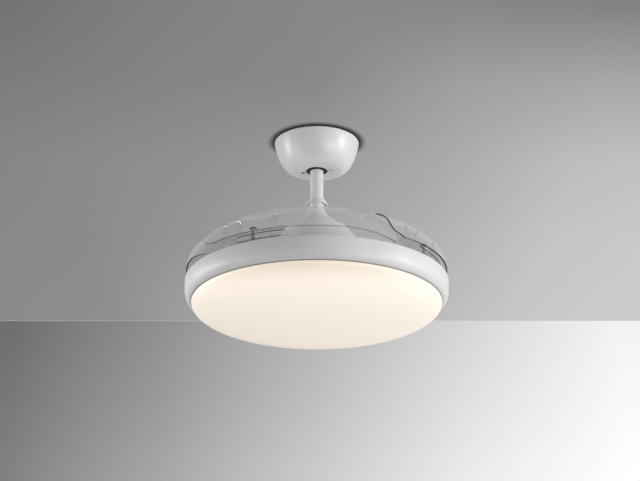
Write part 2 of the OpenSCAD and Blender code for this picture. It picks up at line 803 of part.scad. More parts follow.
// A tube swept along a line in space. The hint is a direction that the line never takes.
module swept(line, radius, sides, hint) {
    n = len(line);
    function ring(i) =
        let (
            d = line[min(i + 1, n - 1)] - line[max(i - 1, 0)],
            along = d / norm(d),
            side = cross(hint, along) / norm(cross(hint, along)),
            up = cross(along, side))
        [for (k = [0:sides - 1])
            line[i] + radius * (cos(360 * k / sides) * side + sin(360 * k / sides) * up)];
    points = [for (i = [0:n - 1]) each ring(i)];
    last = (n - 1) * sides;
    faces = concat(
        [for (k = [1:sides - 2]) [0, k, k + 1]],
        [for (i = [0:n - 2], k = [0:sides - 1], half = [0, 1])
            let (
                a = i * sides + k,
                b = i * sides + (k + 1) % sides)
            half == 0 ? [a, a + sides, b] : [b, a + sides, b + sides]],
        [for (k = [1:sides - 2]) [last, last + k + 1, last + k]]);
    polyhedron(points = points, faces = faces);
}

module return_springs() {
    line = spring_line();
    echo(least_gap_between_spring_turns = spring_gap(line));
    color(steel) at_pivots() swept(line, wire_r, spring_sides, [0, 0, 1]);
}

// ---------- Blades ----------

// Height of the dome's outer face at a distance from the axis.
function dome_z(r) = rim_z + dome_h * sqrt(max(0, 1 - pow(r / blade_r, 2)));

// The outer face of the blades from the tip's lowest point up over the dome.
function dome_path(outer, rise, inner, foot_z, steps) =
    let (last = acos(inner / outer))
    concat([[outer, foot_z]],
        [for (i = [0:steps])
            [outer * cos(last * i / steps), rim_z + rise * sin(last * i / steps)]]);

// The outer face that every blade and arm is cut from.
function blade_face() =
    dome_path(blade_r, dome_h, blade_inner_r - 4, rim_z - tip_droop, 14);

// The blade's outline seen from above: root edge, then the inner edge to the tip.
function root_edge() = through([
    polar(blade_r + 6, root_angle + 1.5),
    polar(blade_r - 2, root_angle),
    polar(blade_r - 8, root_angle - 3.4),
    polar(blade_r - 18, root_angle - 3.8),
    polar(blade_r - 45, root_angle - 0.5),
    polar(blade_r - 90, root_angle + 1),
    polar(blade_inner_r + 8, root_angle + 0.5),
    polar(blade_inner_r, root_angle + 5)], 4);
function inner_edge() = through([
    polar(blade_inner_r, root_angle + 5),
    polar(blade_inner_r + 8, -22),
    polar(blade_inner_r + 28, -2),
    polar(blade_r - 62, 12),
    polar(blade_r - 34, 17.5),
    polar(blade_r - 13, 22.5),
    polar(blade_r - 4, 27),
    polar(blade_r - 2.4, 31),
    polar(blade_r - blade_t, tip_angle - 0.8),
    polar(blade_r + 6, tip_angle)], 4);
function blade_outline() = concat(root_edge(), inner_edge(),
    [for (a = [24, 12, 0, -12, -24, -36]) polar(blade_r + 12, a)]);

// The space under the line where the rim comes down to the tip, seen square to the rim.
module under_rim() {
    droop_start = 12;
    straight_z = rim_z - 1.5;
    low_z = rim_z - 2 * tip_droop - 20;
    far = blade_r + 20;
    half = blade_r * sin((tip_angle - droop_start) / 2);
    edge = [for (i = [0:8])
        [-half + 2 * half * i / 8, straight_z - (tip_droop - 1.5) * pow(i / 8, 2)]];
    rotate([0, 0, (droop_start + tip_angle) / 2]) rotate([90, 0, 0]) linear_extrude(far)
        polygon(concat([[-far, low_z], [-far, straight_z]], edge,
            [[far, rim_z - tip_droop], [far, low_z]]));
}

// Puts what follows at a screw place of the first blade, with +Z square to the dome.
module at_arm_screw(place) {
    r = place[0];
    tilt = atan(dome_h / blade_r * (r / blade_r) / sqrt(1 - pow(r / blade_r, 2)));
    rotate([0, 0, place[1]]) translate([0, -r, dome_z(r)]) rotate([tilt, 0, 0]) children();
}
arm_screw_at = post_at + post_r / 2;
arm_screw_grip = 6;
arm_screw_places = [[arm_screw_at, root_angle + 6], [arm_screw_at, pivot_angle - 7],
    [arm_screw_at, arm_end_angle - 5]];

module blade()
    color(clear_plastic) difference() {
        intersection() {
            slice(root_angle - 6, tip_angle + 4, wall(blade_face(), -blade_t));
            translate([0, 0, rim_z - 60]) linear_extrude(dome_h + 80) polygon(blade_outline());
        }
        under_rim();
        for (place = arm_screw_places)
            at_arm_screw(place) cylinder(h = 20, r = m3_r + 0.1, center = true);
    }

// An arm's outline seen along it, in from the sides and the roof by a wall.
module arm_outline(side, bottom_z)
    translate([arm_inner_r + side, bottom_z])
        square([arm_w - 2 * side, arm_top_z - side - bottom_z]);

// The posts that stand on an arm's roof and end under the blade.
module arm_posts()
    for (place = arm_screw_places) difference() {
        rotate([0, 0, place[1]]) translate([0, -post_at, arm_top_z - arm_t / 2])
            cylinder(h = dome_z(post_at - post_r) - arm_top_z, r = post_r);
        at_arm_screw([post_at, place[1]])
            translate([-2 * post_r, -4 * post_r, -blade_t - post_gap])
                cube([4 * post_r, 8 * post_r, dome_h]);
    }

// The clear arm that carries a blade on its pivot pin.
module blade_arm() {
    from = root_angle + 2.5;
    rib_angle = 0.7;
    foot_w = 12;
    ribs = [from, -42, -22, arm_end_angle - rib_angle];
    color(clear_plastic) difference() {
        union() {
            difference() {
                sector(from, arm_end_angle) arm_outline(0, arm_bottom_z);
                // The pockets between the ribs, with a flat foot along the outer wall
                for (i = [0:len(ribs) - 2])
                    sector(ribs[i] + rib_angle, ribs[i + 1]) difference() {
                        arm_outline(arm_t, arm_bottom_z - 1);
                        translate([arm_r - foot_w, arm_bottom_z - 2])
                            square([foot_w, arm_t + 2]);
                    }
            }
            rotate([0, 0, pivot_angle]) translate([0, -pivot_at, boss_bottom_z]) {
                cylinder(h = arm_top_z - arm_t / 2 - boss_bottom_z, r = boss_r);
                cylinder(h = boss_top_z - boss_bottom_z, r = boss_r - boss_step);
            }
            arm_posts();
        }
        arm_clearance();
        for (place = arm_screw_places)
            at_arm_screw(place) cylinder(h = 20, r = m3_r + fit, center = true);
    }
}

// Room in the arm for the pin and the return spring.
module arm_clearance()
    rotate([0, 0, pivot_angle]) translate([0, -pivot_at, 0]) {
        translate([0, 0, carrier_top_z])
            cylinder(h = boss_top_z + 1 - carrier_top_z, r = pin_r + fit);
        translate([0, 0, carrier_top_z])
            cylinder(h = spring_h, r = norm([spring_r, spring_leg]) + 2.5);
    }

module arm_screws()
    color(steel) for (place = arm_screw_places)
        at_arm_screw(place)
            screw(m3_r, blade_t + arm_screw_grip, m3_head_r, m3_head_h);

// Turns a piece of the first blade to another blade's place.
module for_blade(number) rotate([0, 0, 360 * (number - 1) / blade_count]) children();

// ---------- Drum ----------

// The drum's outer face from its edge down to the seam.
function drum_path(steps) =
    concat([[drum_r - 1, drum_top_z], [drum_r, drum_top_z - 1]],
        [for (i = [0:steps])
            [diffuser_r + 0.3 + (drum_r - diffuser_r - 0.3) * cos(90 * i / steps),
                drum_bottom_z + drum_round_h * (1 - sin(90 * i / steps))]]);

module drum_ring() {
    color(white_plastic) difference() {
        union() {
            revolve(wall(drum_path(7), drum_t));
            // The ledge under the deck
            revolve([[deck_ledge_r, deck_bottom_z - 2], [ring_inner_r + 1, deck_bottom_z - 2],
                [ring_inner_r + 1, deck_bottom_z], [deck_ledge_r, deck_bottom_z]]);
            // The foot and the bayonet ledge round the diffuser's neck
            revolve([[bayonet_r, bayonet_top_z - bayonet_t], [drum_r - 5, bayonet_top_z - bayonet_t],
                [drum_r - 5, bayonet_top_z], [bayonet_r, bayonet_top_z]]);
            revolve([[bayonet_r, drum_bottom_z], [diffuser_r + 0.3, drum_bottom_z],
                [diffuser_r + 0.3, drum_bottom_z + 2], [bayonet_r, drum_bottom_z + 2]]);
            around(deck_screw_count, 22.5) translate([deck_ledge_r + 4, 0, deck_bottom_z - 6])
                cylinder(h = 5, r = 3.5);
        }
        around(deck_screw_count, 22.5) translate([deck_ledge_r + 4, 0, deck_bottom_z - 7])
            cylinder(h = 10, r = m3_r + fit);
        for (i = [0:lug_count - 1], z = [0, 1])
            let (middle = 45 + 360 * i / lug_count + twist)
            slice(middle - lug_span / 2 - 1, middle + lug_span / 2 + 1,
                z == 0
                ? [[bayonet_r - 5, bayonet_top_z - bayonet_t - 1],
                    [bayonet_r + lug_out + 1, bayonet_top_z - bayonet_t - 1],
                    [bayonet_r + lug_out + 1, bayonet_top_z + 1], [bayonet_r - 5, bayonet_top_z + 1]]
                : [[bayonet_r - 5, drum_bottom_z - 1], [bayonet_r + lug_out + 1, drum_bottom_z - 1],
                    [bayonet_r + lug_out + 1, drum_bottom_z + 3], [bayonet_r - 5, drum_bottom_z + 3]]);
    }
}

module drum_deck()
    color(board_white) difference() {
        translate([0, 0, deck_bottom_z]) cylinder(h = deck_t, r = ring_inner_r - seat);
        translate([0, 0, deck_bottom_z - 1]) cylinder(h = deck_t + 2, r = shaft_r + fit);
        around(deck_screw_count, 22.5) translate([deck_ledge_r + 4, 0, deck_bottom_z - 1])
            cylinder(h = deck_t + 2, r = m3_r + fit);
        around(standoff_count, 10) translate([standoff_at, 0, deck_bottom_z - 1])
            cylinder(h = deck_t + 2, r = m3_r + fit);
    }

module deck_screws()
    color(steel) around(deck_screw_count, 22.5) translate([deck_ledge_r + 4, 0, deck_top_z])
        screw(m3_r, deck_t + 5, m3_head_r, m3_head_h);

module case(length, width, height, at_y)
    translate([0, at_y, deck_bottom_z - height]) difference() {
        union() {
            linear_extrude(height) rounded_rectangle(length, width, 5);
            translate([0, 0, height - 2]) linear_extrude(2)
                rounded_rectangle(length + 16, 14, 5);
        }
        for (side = [-1, 1]) translate([side * (length / 2 + 3), 0, height - 3])
            cylinder(h = 4, r = 1.6);
        translate([0, 0, -1]) linear_extrude(1.6) difference() {
            rounded_rectangle(length - 6, width - 6, 3);
            rounded_rectangle(length - 8, width - 8, 2);
        }
    }

module driver_box() color(white_plastic) case(driver_l, driver_w, driver_h, case_at);

module receiver_box() color(white_plastic) case(receiver_l, receiver_w, receiver_h, -case_at);

module panel_standoffs()
    color(steel) around(standoff_count, 10)
        translate([standoff_at, 0, 0]) {
            tube(3.5, m3_r + 0.1, panel_top_z, deck_bottom_z);
            translate([0, 0, panel_bottom_z]) rotate([180, 0, 0])
                screw(m3_r, panel_t + deck_bottom_z - panel_top_z + deck_t,
                    m3_head_r, m3_head_h);
        }

module led_panel()
    color(board_white) difference() {
        translate([0, 0, panel_bottom_z]) cylinder(h = panel_t, r = panel_r);
        around(standoff_count, 10) translate([standoff_at, 0, panel_bottom_z - 1])
            cylinder(h = panel_t + 2, r = m3_r + 0.1);
    }

module led_board()
    color(board_white) for (i = [0:3])
        slice(90 * i + 2, 90 * i + 88, [[board_inner_r, panel_bottom_z - board_t],
            [board_outer_r, panel_bottom_z - board_t], [board_outer_r, panel_bottom_z],
            [board_inner_r, panel_bottom_z]]);

module led_chips() {
    chip = [5, 5, 0.8];
    color(chip_yellow) for (row = [[board_inner_r + 16, 1], [board_outer_r - 16, 2]])
        around(chip_count * row[1] / 3, 3.75)
            translate([row[0], 0, panel_bottom_z - board_t - chip[2] / 2])
                cube(chip, center = true);
}

module seam_seal()
    color(grey_rubber)
        tube(diffuser_r - 1.2, bayonet_r + lug_out + 1, drum_bottom_z - seal_t, drum_bottom_z);

// The lead runs beside the two pins in the rod and then down through the shaft.
lead_r = 2.4;
lead_sides = 10;
module supply_lead() {
    beside_pins = cross_pin_r + lead_r + 0.4;
    in_shaft = shaft_bore_r - seat - lead_r;
    shaft_top_z = rod_bottom_z - 0.5;
    route = [
        [0, beside_pins, rod_top_z + 4],
        [0, beside_pins, (rod_top_z + clevis_z) / 2],
        [0, beside_pins, clevis_z - cross_pin_r],
        [0, in_shaft, shaft_top_z + 1],
        [0, in_shaft, (shaft_top_z + shaft_bottom_z) / 2],
        [0, in_shaft, shaft_bottom_z - 2]];
    color(white_plastic) swept(route, lead_r, lead_sides, [1, 0, 0]);
}

module lead_connector() {
    body = [18, 11, 13];
    color(white_plastic) translate([0, 0, rod_top_z + 4 + body[2] / 2]) difference() {
        cube(body, center = true);
        translate([0, 0, body[2] / 2 - 2]) cube([body[0] - 4, body[1] - 4, 6], center = true);
    }
}

// ---------- Diffuser ----------

// The bowl's outer face from the seam down to its lowest point.
function bowl_path(steps) =
    let (power = 2 / 2.14)
    [for (i = [0:steps])
        [diffuser_r * pow(cos(90 * i / steps), power),
            seam_z - diffuser_h * pow(sin(90 * i / steps), power)]];

module diffuser() {
    outside = bowl_path(14);
    shell = wall(outside, diffuser_t);
    lug_bottom_z = bayonet_top_z + seat;
    color(opal) union() {
        revolve(concat([[collar_neck_r - diffuser_t, seam_z]], shell_without_top(shell)));
        revolve([[collar_neck_r - diffuser_t, seam_z - diffuser_t],
            [collar_neck_r - diffuser_t, lug_bottom_z + lug_h],
            [collar_neck_r, lug_bottom_z + lug_h], [collar_neck_r, seam_z - diffuser_t]]);
        for (i = [0:lug_count - 1])
            let (middle = 45 + 360 * i / lug_count)
            slice(middle - lug_span / 2, middle + lug_span / 2,
                [[collar_neck_r - 1, lug_bottom_z], [collar_neck_r + lug_out + 1.5, lug_bottom_z],
                    [collar_neck_r + lug_out + 1.5, lug_bottom_z + lug_h],
                    [collar_neck_r - 1, lug_bottom_z + lug_h]]);
    }
}

// The shell's outline with its inner face stopped at the neck.
function shell_without_top(shell) =
    let (half = len(shell) / 2)
    concat([for (i = [0:half - 1]) shell[i]],
        [for (i = [half:len(shell) - 1])
            if (shell[i][0] < collar_neck_r - diffuser_t) [max(0, shell[i][0]), shell[i][1]]]);

// ---------- The nodes ----------

ceiling_bracket();
canopy();
canopy_screws();
terminal_block();
hanger_ball();
ball_cross_pin();
downrod();
rod_collar();
motor_coupling();
coupling_pin();
coupling_clip();
coupling_set_screws();
motor_top_cover();
cover_screws();
motor_shaft();
shaft_spacers();
upper_bearing();
lower_bearing();
stator_core();
stator_windings();
shaft_nut();
drum_ring();
drum_deck();
deck_screws();
driver_box();
receiver_box();
panel_standoffs();
led_panel();
led_board();
led_chips();
seam_seal();
supply_lead();
lead_connector();
rotor_shell();
rotor_magnets();
rotor_base();
blade_carrier();
carrier_screws();
pivot_pins();
pin_clips();
pivot_bushes();
return_springs();
for_blade(1) blade();  // blade_1
for_blade(2) blade();  // blade_2
for_blade(3) blade();  // blade_3
for_blade(4) blade();  // blade_4
for_blade(1) blade_arm();  // blade_arm_1
for_blade(2) blade_arm();  // blade_arm_2
for_blade(3) blade_arm();  // blade_arm_3
for_blade(4) blade_arm();  // blade_arm_4
for_blade(1) arm_screws();  // arm_screws_1
for_blade(2) arm_screws();  // arm_screws_2
for_blade(3) arm_screws();  // arm_screws_3
for_blade(4) arm_screws();  // arm_screws_4
diffuser();
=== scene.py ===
"""Looks for a ceiling fan whose four clear blades fold in over a round light."""

import json
import logging
import math
from collections.abc import Callable, Iterator, Sequence
from contextlib import contextmanager
from dataclasses import dataclass
from enum import Enum
from functools import lru_cache

import bmesh
import bpy
from mathutils import Matrix, Vector

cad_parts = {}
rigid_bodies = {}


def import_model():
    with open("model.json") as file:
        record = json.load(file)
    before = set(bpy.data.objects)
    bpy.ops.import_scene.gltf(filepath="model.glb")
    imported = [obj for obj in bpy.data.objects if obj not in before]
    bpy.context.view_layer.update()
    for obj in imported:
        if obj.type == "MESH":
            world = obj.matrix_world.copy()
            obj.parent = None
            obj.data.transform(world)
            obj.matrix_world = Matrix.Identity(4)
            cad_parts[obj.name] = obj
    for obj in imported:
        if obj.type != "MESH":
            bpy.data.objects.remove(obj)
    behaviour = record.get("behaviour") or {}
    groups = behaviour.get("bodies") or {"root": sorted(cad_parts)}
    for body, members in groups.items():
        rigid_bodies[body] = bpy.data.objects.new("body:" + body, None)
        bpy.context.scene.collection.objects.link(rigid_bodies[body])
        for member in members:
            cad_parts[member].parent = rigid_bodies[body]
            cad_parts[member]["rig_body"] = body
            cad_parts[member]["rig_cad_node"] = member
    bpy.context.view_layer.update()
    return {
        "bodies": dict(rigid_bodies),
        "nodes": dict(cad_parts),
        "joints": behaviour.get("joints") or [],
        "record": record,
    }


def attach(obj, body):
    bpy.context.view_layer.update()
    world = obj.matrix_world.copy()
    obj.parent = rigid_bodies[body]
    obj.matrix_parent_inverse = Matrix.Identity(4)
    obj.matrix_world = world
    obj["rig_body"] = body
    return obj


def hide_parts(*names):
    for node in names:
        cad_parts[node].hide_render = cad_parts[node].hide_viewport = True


log = logging.getLogger("fan")

MM = 0.001
MERGE = 0.002 * MM
PHOTO_W = 640
BLADES = 4

Point = tuple[float, float]
Triple = tuple[float, float, float]
Piece = bpy.types.Object
Tree = bpy.types.NodeTree
Socket = bpy.types.NodeSocket
Inputs = dict[str | int, object]


# ---------- Modelling on the bench ----------


def clear_selection() -> None:
    """Leaves edit mode and deselects every object."""
    if bpy.context.object is not None and bpy.context.object.mode != "OBJECT":
        bpy.ops.object.mode_set(mode="OBJECT")
    bpy.ops.object.select_all(action="DESELECT")


def pick(*pieces: Piece) -> None:
    """Makes pieces the only ones selected, and the first of them active.

    Args:
        pieces: The pieces to select.
    """
    clear_selection()
    for piece in pieces:
        piece.select_set(True)
    bpy.context.view_layer.objects.active = pieces[0]


@contextmanager
def editing(piece: Piece) -> Iterator[bmesh.types.BMesh]:
    """Opens one piece in edit mode with nothing selected.

    Args:
        piece: The mesh object to edit.

    Returns:
        The mesh that is being edited.
    """
    pick(piece)
    bpy.ops.object.mode_set(mode="EDIT")
    bpy.ops.mesh.select_mode(type="VERT")
    bpy.ops.mesh.select_all(action="DESELECT")
    try:
        yield bmesh.from_edit_mesh(piece.data)
    finally:
        bpy.ops.object.mode_set(mode="OBJECT")


def named(name: str) -> Piece:
    """Names the piece that was just added.

    Args:
        name: The name for the piece and its mesh.

    Returns:
        The piece.
    """
    piece = bpy.context.object
    piece.name = piece.data.name = name
    return piece


def blank(name: str) -> Piece:
    """Adds an empty mesh to draw in.

    Args:
        name: Name of the piece.

    Returns:
        The empty piece.
    """
    clear_selection()
    bpy.ops.mesh.primitive_plane_add(size=MM)
    piece = named(name)
    with editing(piece):
        bpy.ops.mesh.select_all(action="SELECT")
        bpy.ops.mesh.delete(type="VERT")
    return piece


def draw_line(points: Sequence[Point], closed: bool) -> None:
    """Draws a line in the XZ plane of the open mesh, from point to point.

    Args:
        points: Distance from the axis and height of each point, in millimetres.
        closed: True to come back to the first point.
    """
    bpy.ops.mesh.select_all(action="DESELECT")
    x, z = points[0]
    bpy.ops.mesh.primitive_plane_add(size=MM, location=(x * MM, 0, z * MM))
    bpy.ops.mesh.merge(type="CENTER")
    route = list(points) + ([points[0]] if closed else [])
    for here, there in zip(route, route[1:]):
        step = ((there[0] - here[0]) * MM, 0, (there[1] - here[1]) * MM)
        bpy.ops.mesh.extrude_vertices_move(TRANSFORM_OT_translate={"value": step})


def merge_doubles() -> None:
    """Selects all of the open mesh and merges its doubles."""
    bpy.ops.mesh.select_all(action="SELECT")
    bpy.ops.mesh.remove_doubles(threshold=MERGE)


def tidy_shell() -> None:
    """Merges doubles in the open mesh and turns its faces outwards."""
    merge_doubles()
    bpy.ops.mesh.normals_make_consistent(inside=False)


def turned(
    name: str,
    loops: Sequence[Sequence[Point]],
    steps: int = 128,
    closed: bool = True,
    sweep: float = 360,
) -> Piece:
    """Turns outlines round the fan's axis, as on a lathe.

    Args:
        name: Name of the piece.
        loops: Outlines in the XZ plane, in millimetres.
        steps: Steps of the turn.
        closed: False where an outline starts and ends on the axis.
        sweep: Degrees of the turn. Where it isn't a full one, both ends are closed.

    Returns:
        The turned piece.
    """
    piece = blank(name)
    with editing(piece):
        for loop in loops:
            draw_line(loop, closed)
        merge_doubles()
        bpy.ops.mesh.spin(
            steps=steps, angle=math.radians(sweep), center=(0, 0, 0), axis=(0, 0, 1)
        )
        merge_doubles()
        if sweep < 360:
            bpy.ops.mesh.fill_holes(sides=0)
        tidy_shell()
    return piece


def sector(name: str, outline: Sequence[Point], middle: float, span: float) -> Piece:
    """Turns an outline through a part of a circle.

    Args:
        name: Name of the piece.
        outline: Closed outline in the XZ plane, in millimetres.
        middle: Azimuth of its middle in degrees, from the front toward the right.
        span: Degrees from end to end.

    Returns:
        The closed piece.
    """
    piece = turned(name, [outline], 12, sweep=span)
    return placed(piece, turn(middle - span / 2 - 90))


def turn(degrees: float, axis: str = "Z") -> Matrix:
    """A turn about an axis through the origin."""
    return Matrix.Rotation(math.radians(degrees), 4, axis)


def shift(x: float, y: float, z: float) -> Matrix:
    """A move in millimetres."""
    return Matrix.Translation(Vector((x, y, z)) * MM)


def around(count: int, start: float, away: float, z: float = 0) -> list[Matrix]:
    """Places that stand evenly round the fan's axis.

    Args:
        count: How many there are.
        start: Azimuth of the first in degrees, from the right toward the back.
        away: Their distance from the axis in millimetres.
        z: Their height in millimetres.

    Returns:
        The places, each with X away from the axis.
    """
    return [turn(start + 360 / count * k) @ shift(away, 0, z) for k in range(count)]


def placed(piece: Piece, place: Matrix) -> Piece:
    """Puts a piece at a place and leaves that place in its mesh.

    Args:
        piece: The piece.
        place: Its place.

    Returns:
        The piece, with its object at the origin.
    """
    pick(piece)
    piece.matrix_world = place
    bpy.ops.object.transform_apply(location=True, rotation=True, scale=True)
    return piece


def copied(piece: Piece, name: str, place: Matrix) -> Piece:
    """Copies a piece with a mesh of its own to another place.

    Args:
        piece: The piece to copy.
        name: Name of the copy.
        place: Place of the copy.

    Returns:
        The copy.
    """
    pick(piece)
    bpy.ops.object.duplicate(linked=False)
    return placed(named(name), place)


def joined(*pieces: Piece) -> Piece:
    """Joins pieces into the first of them.

    Args:
        pieces: The pieces, which become one.

    Returns:
        The first piece.
    """
    pick(*pieces)
    bpy.ops.object.join()
    return pieces[0]


def modified(piece: Piece, kind: str, **settings: object) -> Piece:
    """Adds a modifier and applies it.

    Args:
        piece: The piece to change.
        kind: The modifier's type.
        settings: Values for the modifier's own properties.

    Returns:
        The piece.
    """
    pick(piece)
    modifier = piece.modifiers.new(kind.title(), kind)
    for key, value in settings.items():
        setattr(modifier, key, value)
    bpy.ops.object.modifier_apply(modifier=modifier.name)
    return piece


def cut(piece: Piece, *cutters: Piece) -> Piece:
    """Cuts the shapes of some cutters out of a piece and clears the cutters away.

    Args:
        piece: The piece to cut.
        cutters: The closed shapes to take away.

    Returns:
        The piece.
    """
    for cutter in cutters:
        modified(
            piece, "BOOLEAN", operation="DIFFERENCE", solver="EXACT", object=cutter
        )
        bpy.data.objects.remove(cutter)
    return piece


def smoothed(piece: Piece, degrees: float = 32) -> Piece:
    """Shades a piece smooth, with creases where its faces meet at more than an angle.

    Args:
        piece: The piece to shade.
        degrees: The angle.

    Returns:
        The piece.
    """
    pick(piece)
    bpy.ops.object.shade_smooth_by_angle(angle=math.radians(degrees))
    return piece


def bevelled(piece: Piece, width: float, coat: int = -1, degrees: float = 50) -> Piece:
    """Rounds the edges of a piece that are sharper than an angle.

    Args:
        piece: The piece to round.
        width: Width of the rounding in millimetres.
        coat: Material slot of the rounding, or -1 for the slot of the faces beside it.
        degrees: The angle.

    Returns:
        The piece.
    """
    return modified(
        piece,
        "BEVEL",
        width=width * MM,
        segments=2,
        limit_method="ANGLE",
        angle_limit=math.radians(degrees),
        material=coat,
    )


def peg(radius: float, low: float, high: float, place: Matrix, sides: int = 32) -> Piece:
    """A plain round cutter.

    Args:
        radius: Its radius in millimetres.
        low: Where it starts along its axis, in millimetres.
        high: Where it ends.
        place: The place of its axis.
        sides: Sides of its circle.

    Returns:
        The cutter.
    """
    clear_selection()
    bpy.ops.mesh.primitive_cylinder_add(
        vertices=sides, radius=radius * MM, depth=(high - low) * MM
    )
    return placed(named("peg"), place @ shift(0, 0, (low + high) / 2))


def slab(size: Triple, middle: Matrix) -> Piece:
    """A plain square cutter.

    Args:
        size: Its three sides in millimetres.
        middle: The place of its middle.

    Returns:
        The cutter.
    """
    clear_selection()
    bpy.ops.mesh.primitive_cube_add(size=MM)
    return placed(named("slab"), middle @ Matrix.Diagonal((*size, 1)))


def laid(
    name: str,
    columns: int,
    rows: int,
    spot: Callable[[float, float], Vector],
    front: Callable[[Vector], Vector],
) -> Piece:
    """Lays a grid over a surface.

    Args:
        name: Name of the piece.
        columns: Steps along the grid.
        rows: Steps across it.
        spot: Gives the place of a point from its shares along and across the grid.
        front: Gives the way to face from a place on the surface.

    Returns:
        The sheet, which has no thickness yet.
    """
    clear_selection()
    bpy.ops.mesh.primitive_grid_add(x_subdivisions=columns, y_subdivisions=rows, size=1)
    piece = named(name)
    with editing(piece) as mesh:
        for vert in mesh.verts:
            vert.co = spot(vert.co.x + 0.5, vert.co.y + 0.5)
        bmesh.update_edit_mesh(piece.data)
        bpy.ops.mesh.select_all(action="SELECT")
        bpy.ops.mesh.normals_make_consistent(inside=False)
    middle = piece.data.polygons[len(piece.data.polygons) // 2]
    if middle.normal.dot(front(middle.center)) < 0:
        with editing(piece):
            bpy.ops.mesh.select_all(action="SELECT")
            bpy.ops.mesh.flip_normals()
    return piece


def tube(name: str, lines: Sequence[Sequence[Vector]], radius: float) -> Piece:
    """Round rods along lines of points, with closed ends.

    Args:
        name: Name of the piece.
        lines: The points of each rod, in metres.
        radius: The rods' radius in millimetres.

    Returns:
        The rods as one mesh.
    """
    curve = bpy.data.curves.new(name, "CURVE")
    curve.dimensions = "3D"
    curve.bevel_depth = radius * MM
    curve.bevel_resolution = 2
    curve.use_fill_caps = True
    for line in lines:
        points = curve.splines.new("POLY").points
        points.add(len(line) - 1)
        for point, spot in zip(points, line):
            point.co = (*spot, 1)
    piece = bpy.data.objects.new(name, curve)
    bpy.context.scene.collection.objects.link(piece)
    pick(piece)
    bpy.ops.object.convert(target="MESH")
    return bpy.context.object


# ---------- Outlines ----------


def rounded(corners: Sequence[Triple], steps: int = 4) -> list[Point]:
    """Rounds the corners of a closed outline.

    Args:
        corners: Distance, height and fillet radius of each corner, in millimetres.
        steps: Steps of each rounding.

    Returns:
        The outline's points.
    """
    nearly_straight = math.radians(88)
    points: list[Point] = []
    count = len(corners)
    for i, (x, z, radius) in enumerate(corners):
        here = Vector((x, z))
        back = Vector(corners[i - 1][:2]) - here
        ahead = Vector(corners[(i + 1) % count][:2]) - here
        half = back.angle(ahead) / 2
        if radius <= 0 or half > nearly_straight:
            points.append((x, z))
            continue
        reach = min(radius / math.tan(half), 0.49 * back.length, 0.49 * ahead.length)
        radius = reach * math.tan(half)
        back.normalize()
        ahead.normalize()
        middle = here + (back + ahead).normalized() * radius / math.sin(half)
        first = here + back * reach - middle
        last = here + ahead * reach - middle
        sweep = math.atan2(first.cross(last), first.dot(last))
        for k in range(steps + 1):
            a = sweep * k / steps
            across = first.x * math.cos(a) - first.y * math.sin(a)
            up = first.x * math.sin(a) + first.y * math.cos(a)
            points.append((middle.x + across, middle.y + up))
    return points


def band(
    inner: float,
    outer: float,
    low: float,
    high: float,
    fillets: tuple[float, float, float, float] = (0, 0, 0, 0),
) -> list[Point]:
    """The four-cornered outline of a flat ring.

    Args:
        inner: Inner radius in millimetres.
        outer: Outer radius.
        low: Height of its underside.
        high: Height of its top.
        fillets: Fillet radius of the corners: low in, low out, high out, high in.

    Returns:
        The outline's points.
    """
    spots = ((inner, low), (outer, low), (outer, high), (inner, high))
    return rounded([(*spot, fillet) for spot, fillet in zip(spots, fillets)], 2)


def beside(path: Sequence[Point], distance: float) -> list[Point]:
    """The path moved sideways.

    Args:
        path: Points of the path.
        distance: How far it moves to the right of its direction.

    Returns:
        The moved points.
    """
    moved = []
    for i, (x, z) in enumerate(path):
        ahead, back = path[min(i + 1, len(path) - 1)], path[max(i - 1, 0)]
        along = (Vector(ahead) - Vector(back)).normalized()
        moved.append((x + distance * along.y, z - distance * along.x))
    return moved


def walled(path: Sequence[Point], thickness: float, lip: float) -> list[Point]:
    """A wall's closed outline along a path.

    Args:
        path: Points of the wall's left face.
        thickness: The wall's thickness to the right.
        lip: Fillet radius at both ends.

    Returns:
        The outline's points.
    """
    inner = beside(path, thickness)[::-1]
    corners = [(x, z, 0.0) for x, z in [*path, *inner]]
    for i in (0, len(path) - 1, len(path), -1):
        corners[i] = (*corners[i][:2], lip)
    return rounded(corners, 3)


def smooth_line(points: Sequence[Point], steps: int) -> list[Point]:
    """A smooth line through points.

    Args:
        points: The points that it runs through.
        steps: Steps between each two.

    Returns:
        The line's points.
    """
    found: list[Point] = []
    count = len(points)
    for i in range(count - 1):
        p0, p1 = Vector(points[max(i - 1, 0)]), Vector(points[i])
        p2, p3 = Vector(points[i + 1]), Vector(points[min(i + 2, count - 1)])
        for k in range(steps):
            t = k / steps
            at = (
                2 * p1
                + (p2 - p0) * t
                + (2 * p0 - 5 * p1 + 4 * p2 - p3) * t * t
                + (3 * p1 - p0 - 3 * p2 + p3) * t * t * t
            ) / 2
            found.append((at.x, at.y))
    found.append(tuple(points[-1]))
    return found


def evenly(line: Sequence[Point], count: int, stretch: Point) -> list[Vector]:
    """Points at even steps along a line.

    Args:
        line: The line's own points.
        count: Number of steps.
        stretch: Millimetres for a step of one along each axis.

    Returns:
        The points, one more than the steps.
    """
    scale = Vector(stretch)
    spots = [Vector(p) for p in line]
    lengths = [0.0]
    for a, b in zip(spots, spots[1:]):
        lengths.append(lengths[-1] + ((b - a) * scale).length)
    found = []
    i = 0
    for k in range(count + 1):
        want = lengths[-1] * k / count
        while i < len(spots) - 2 and lengths[i + 1] < want:
            i += 1
        span = lengths[i + 1] - lengths[i]
        share = 0 if span == 0 else (want - lengths[i]) / span
        found.append(spots[i].lerp(spots[i + 1], min(max(share, 0), 1)))
    return found


# ---------- Finishes ----------


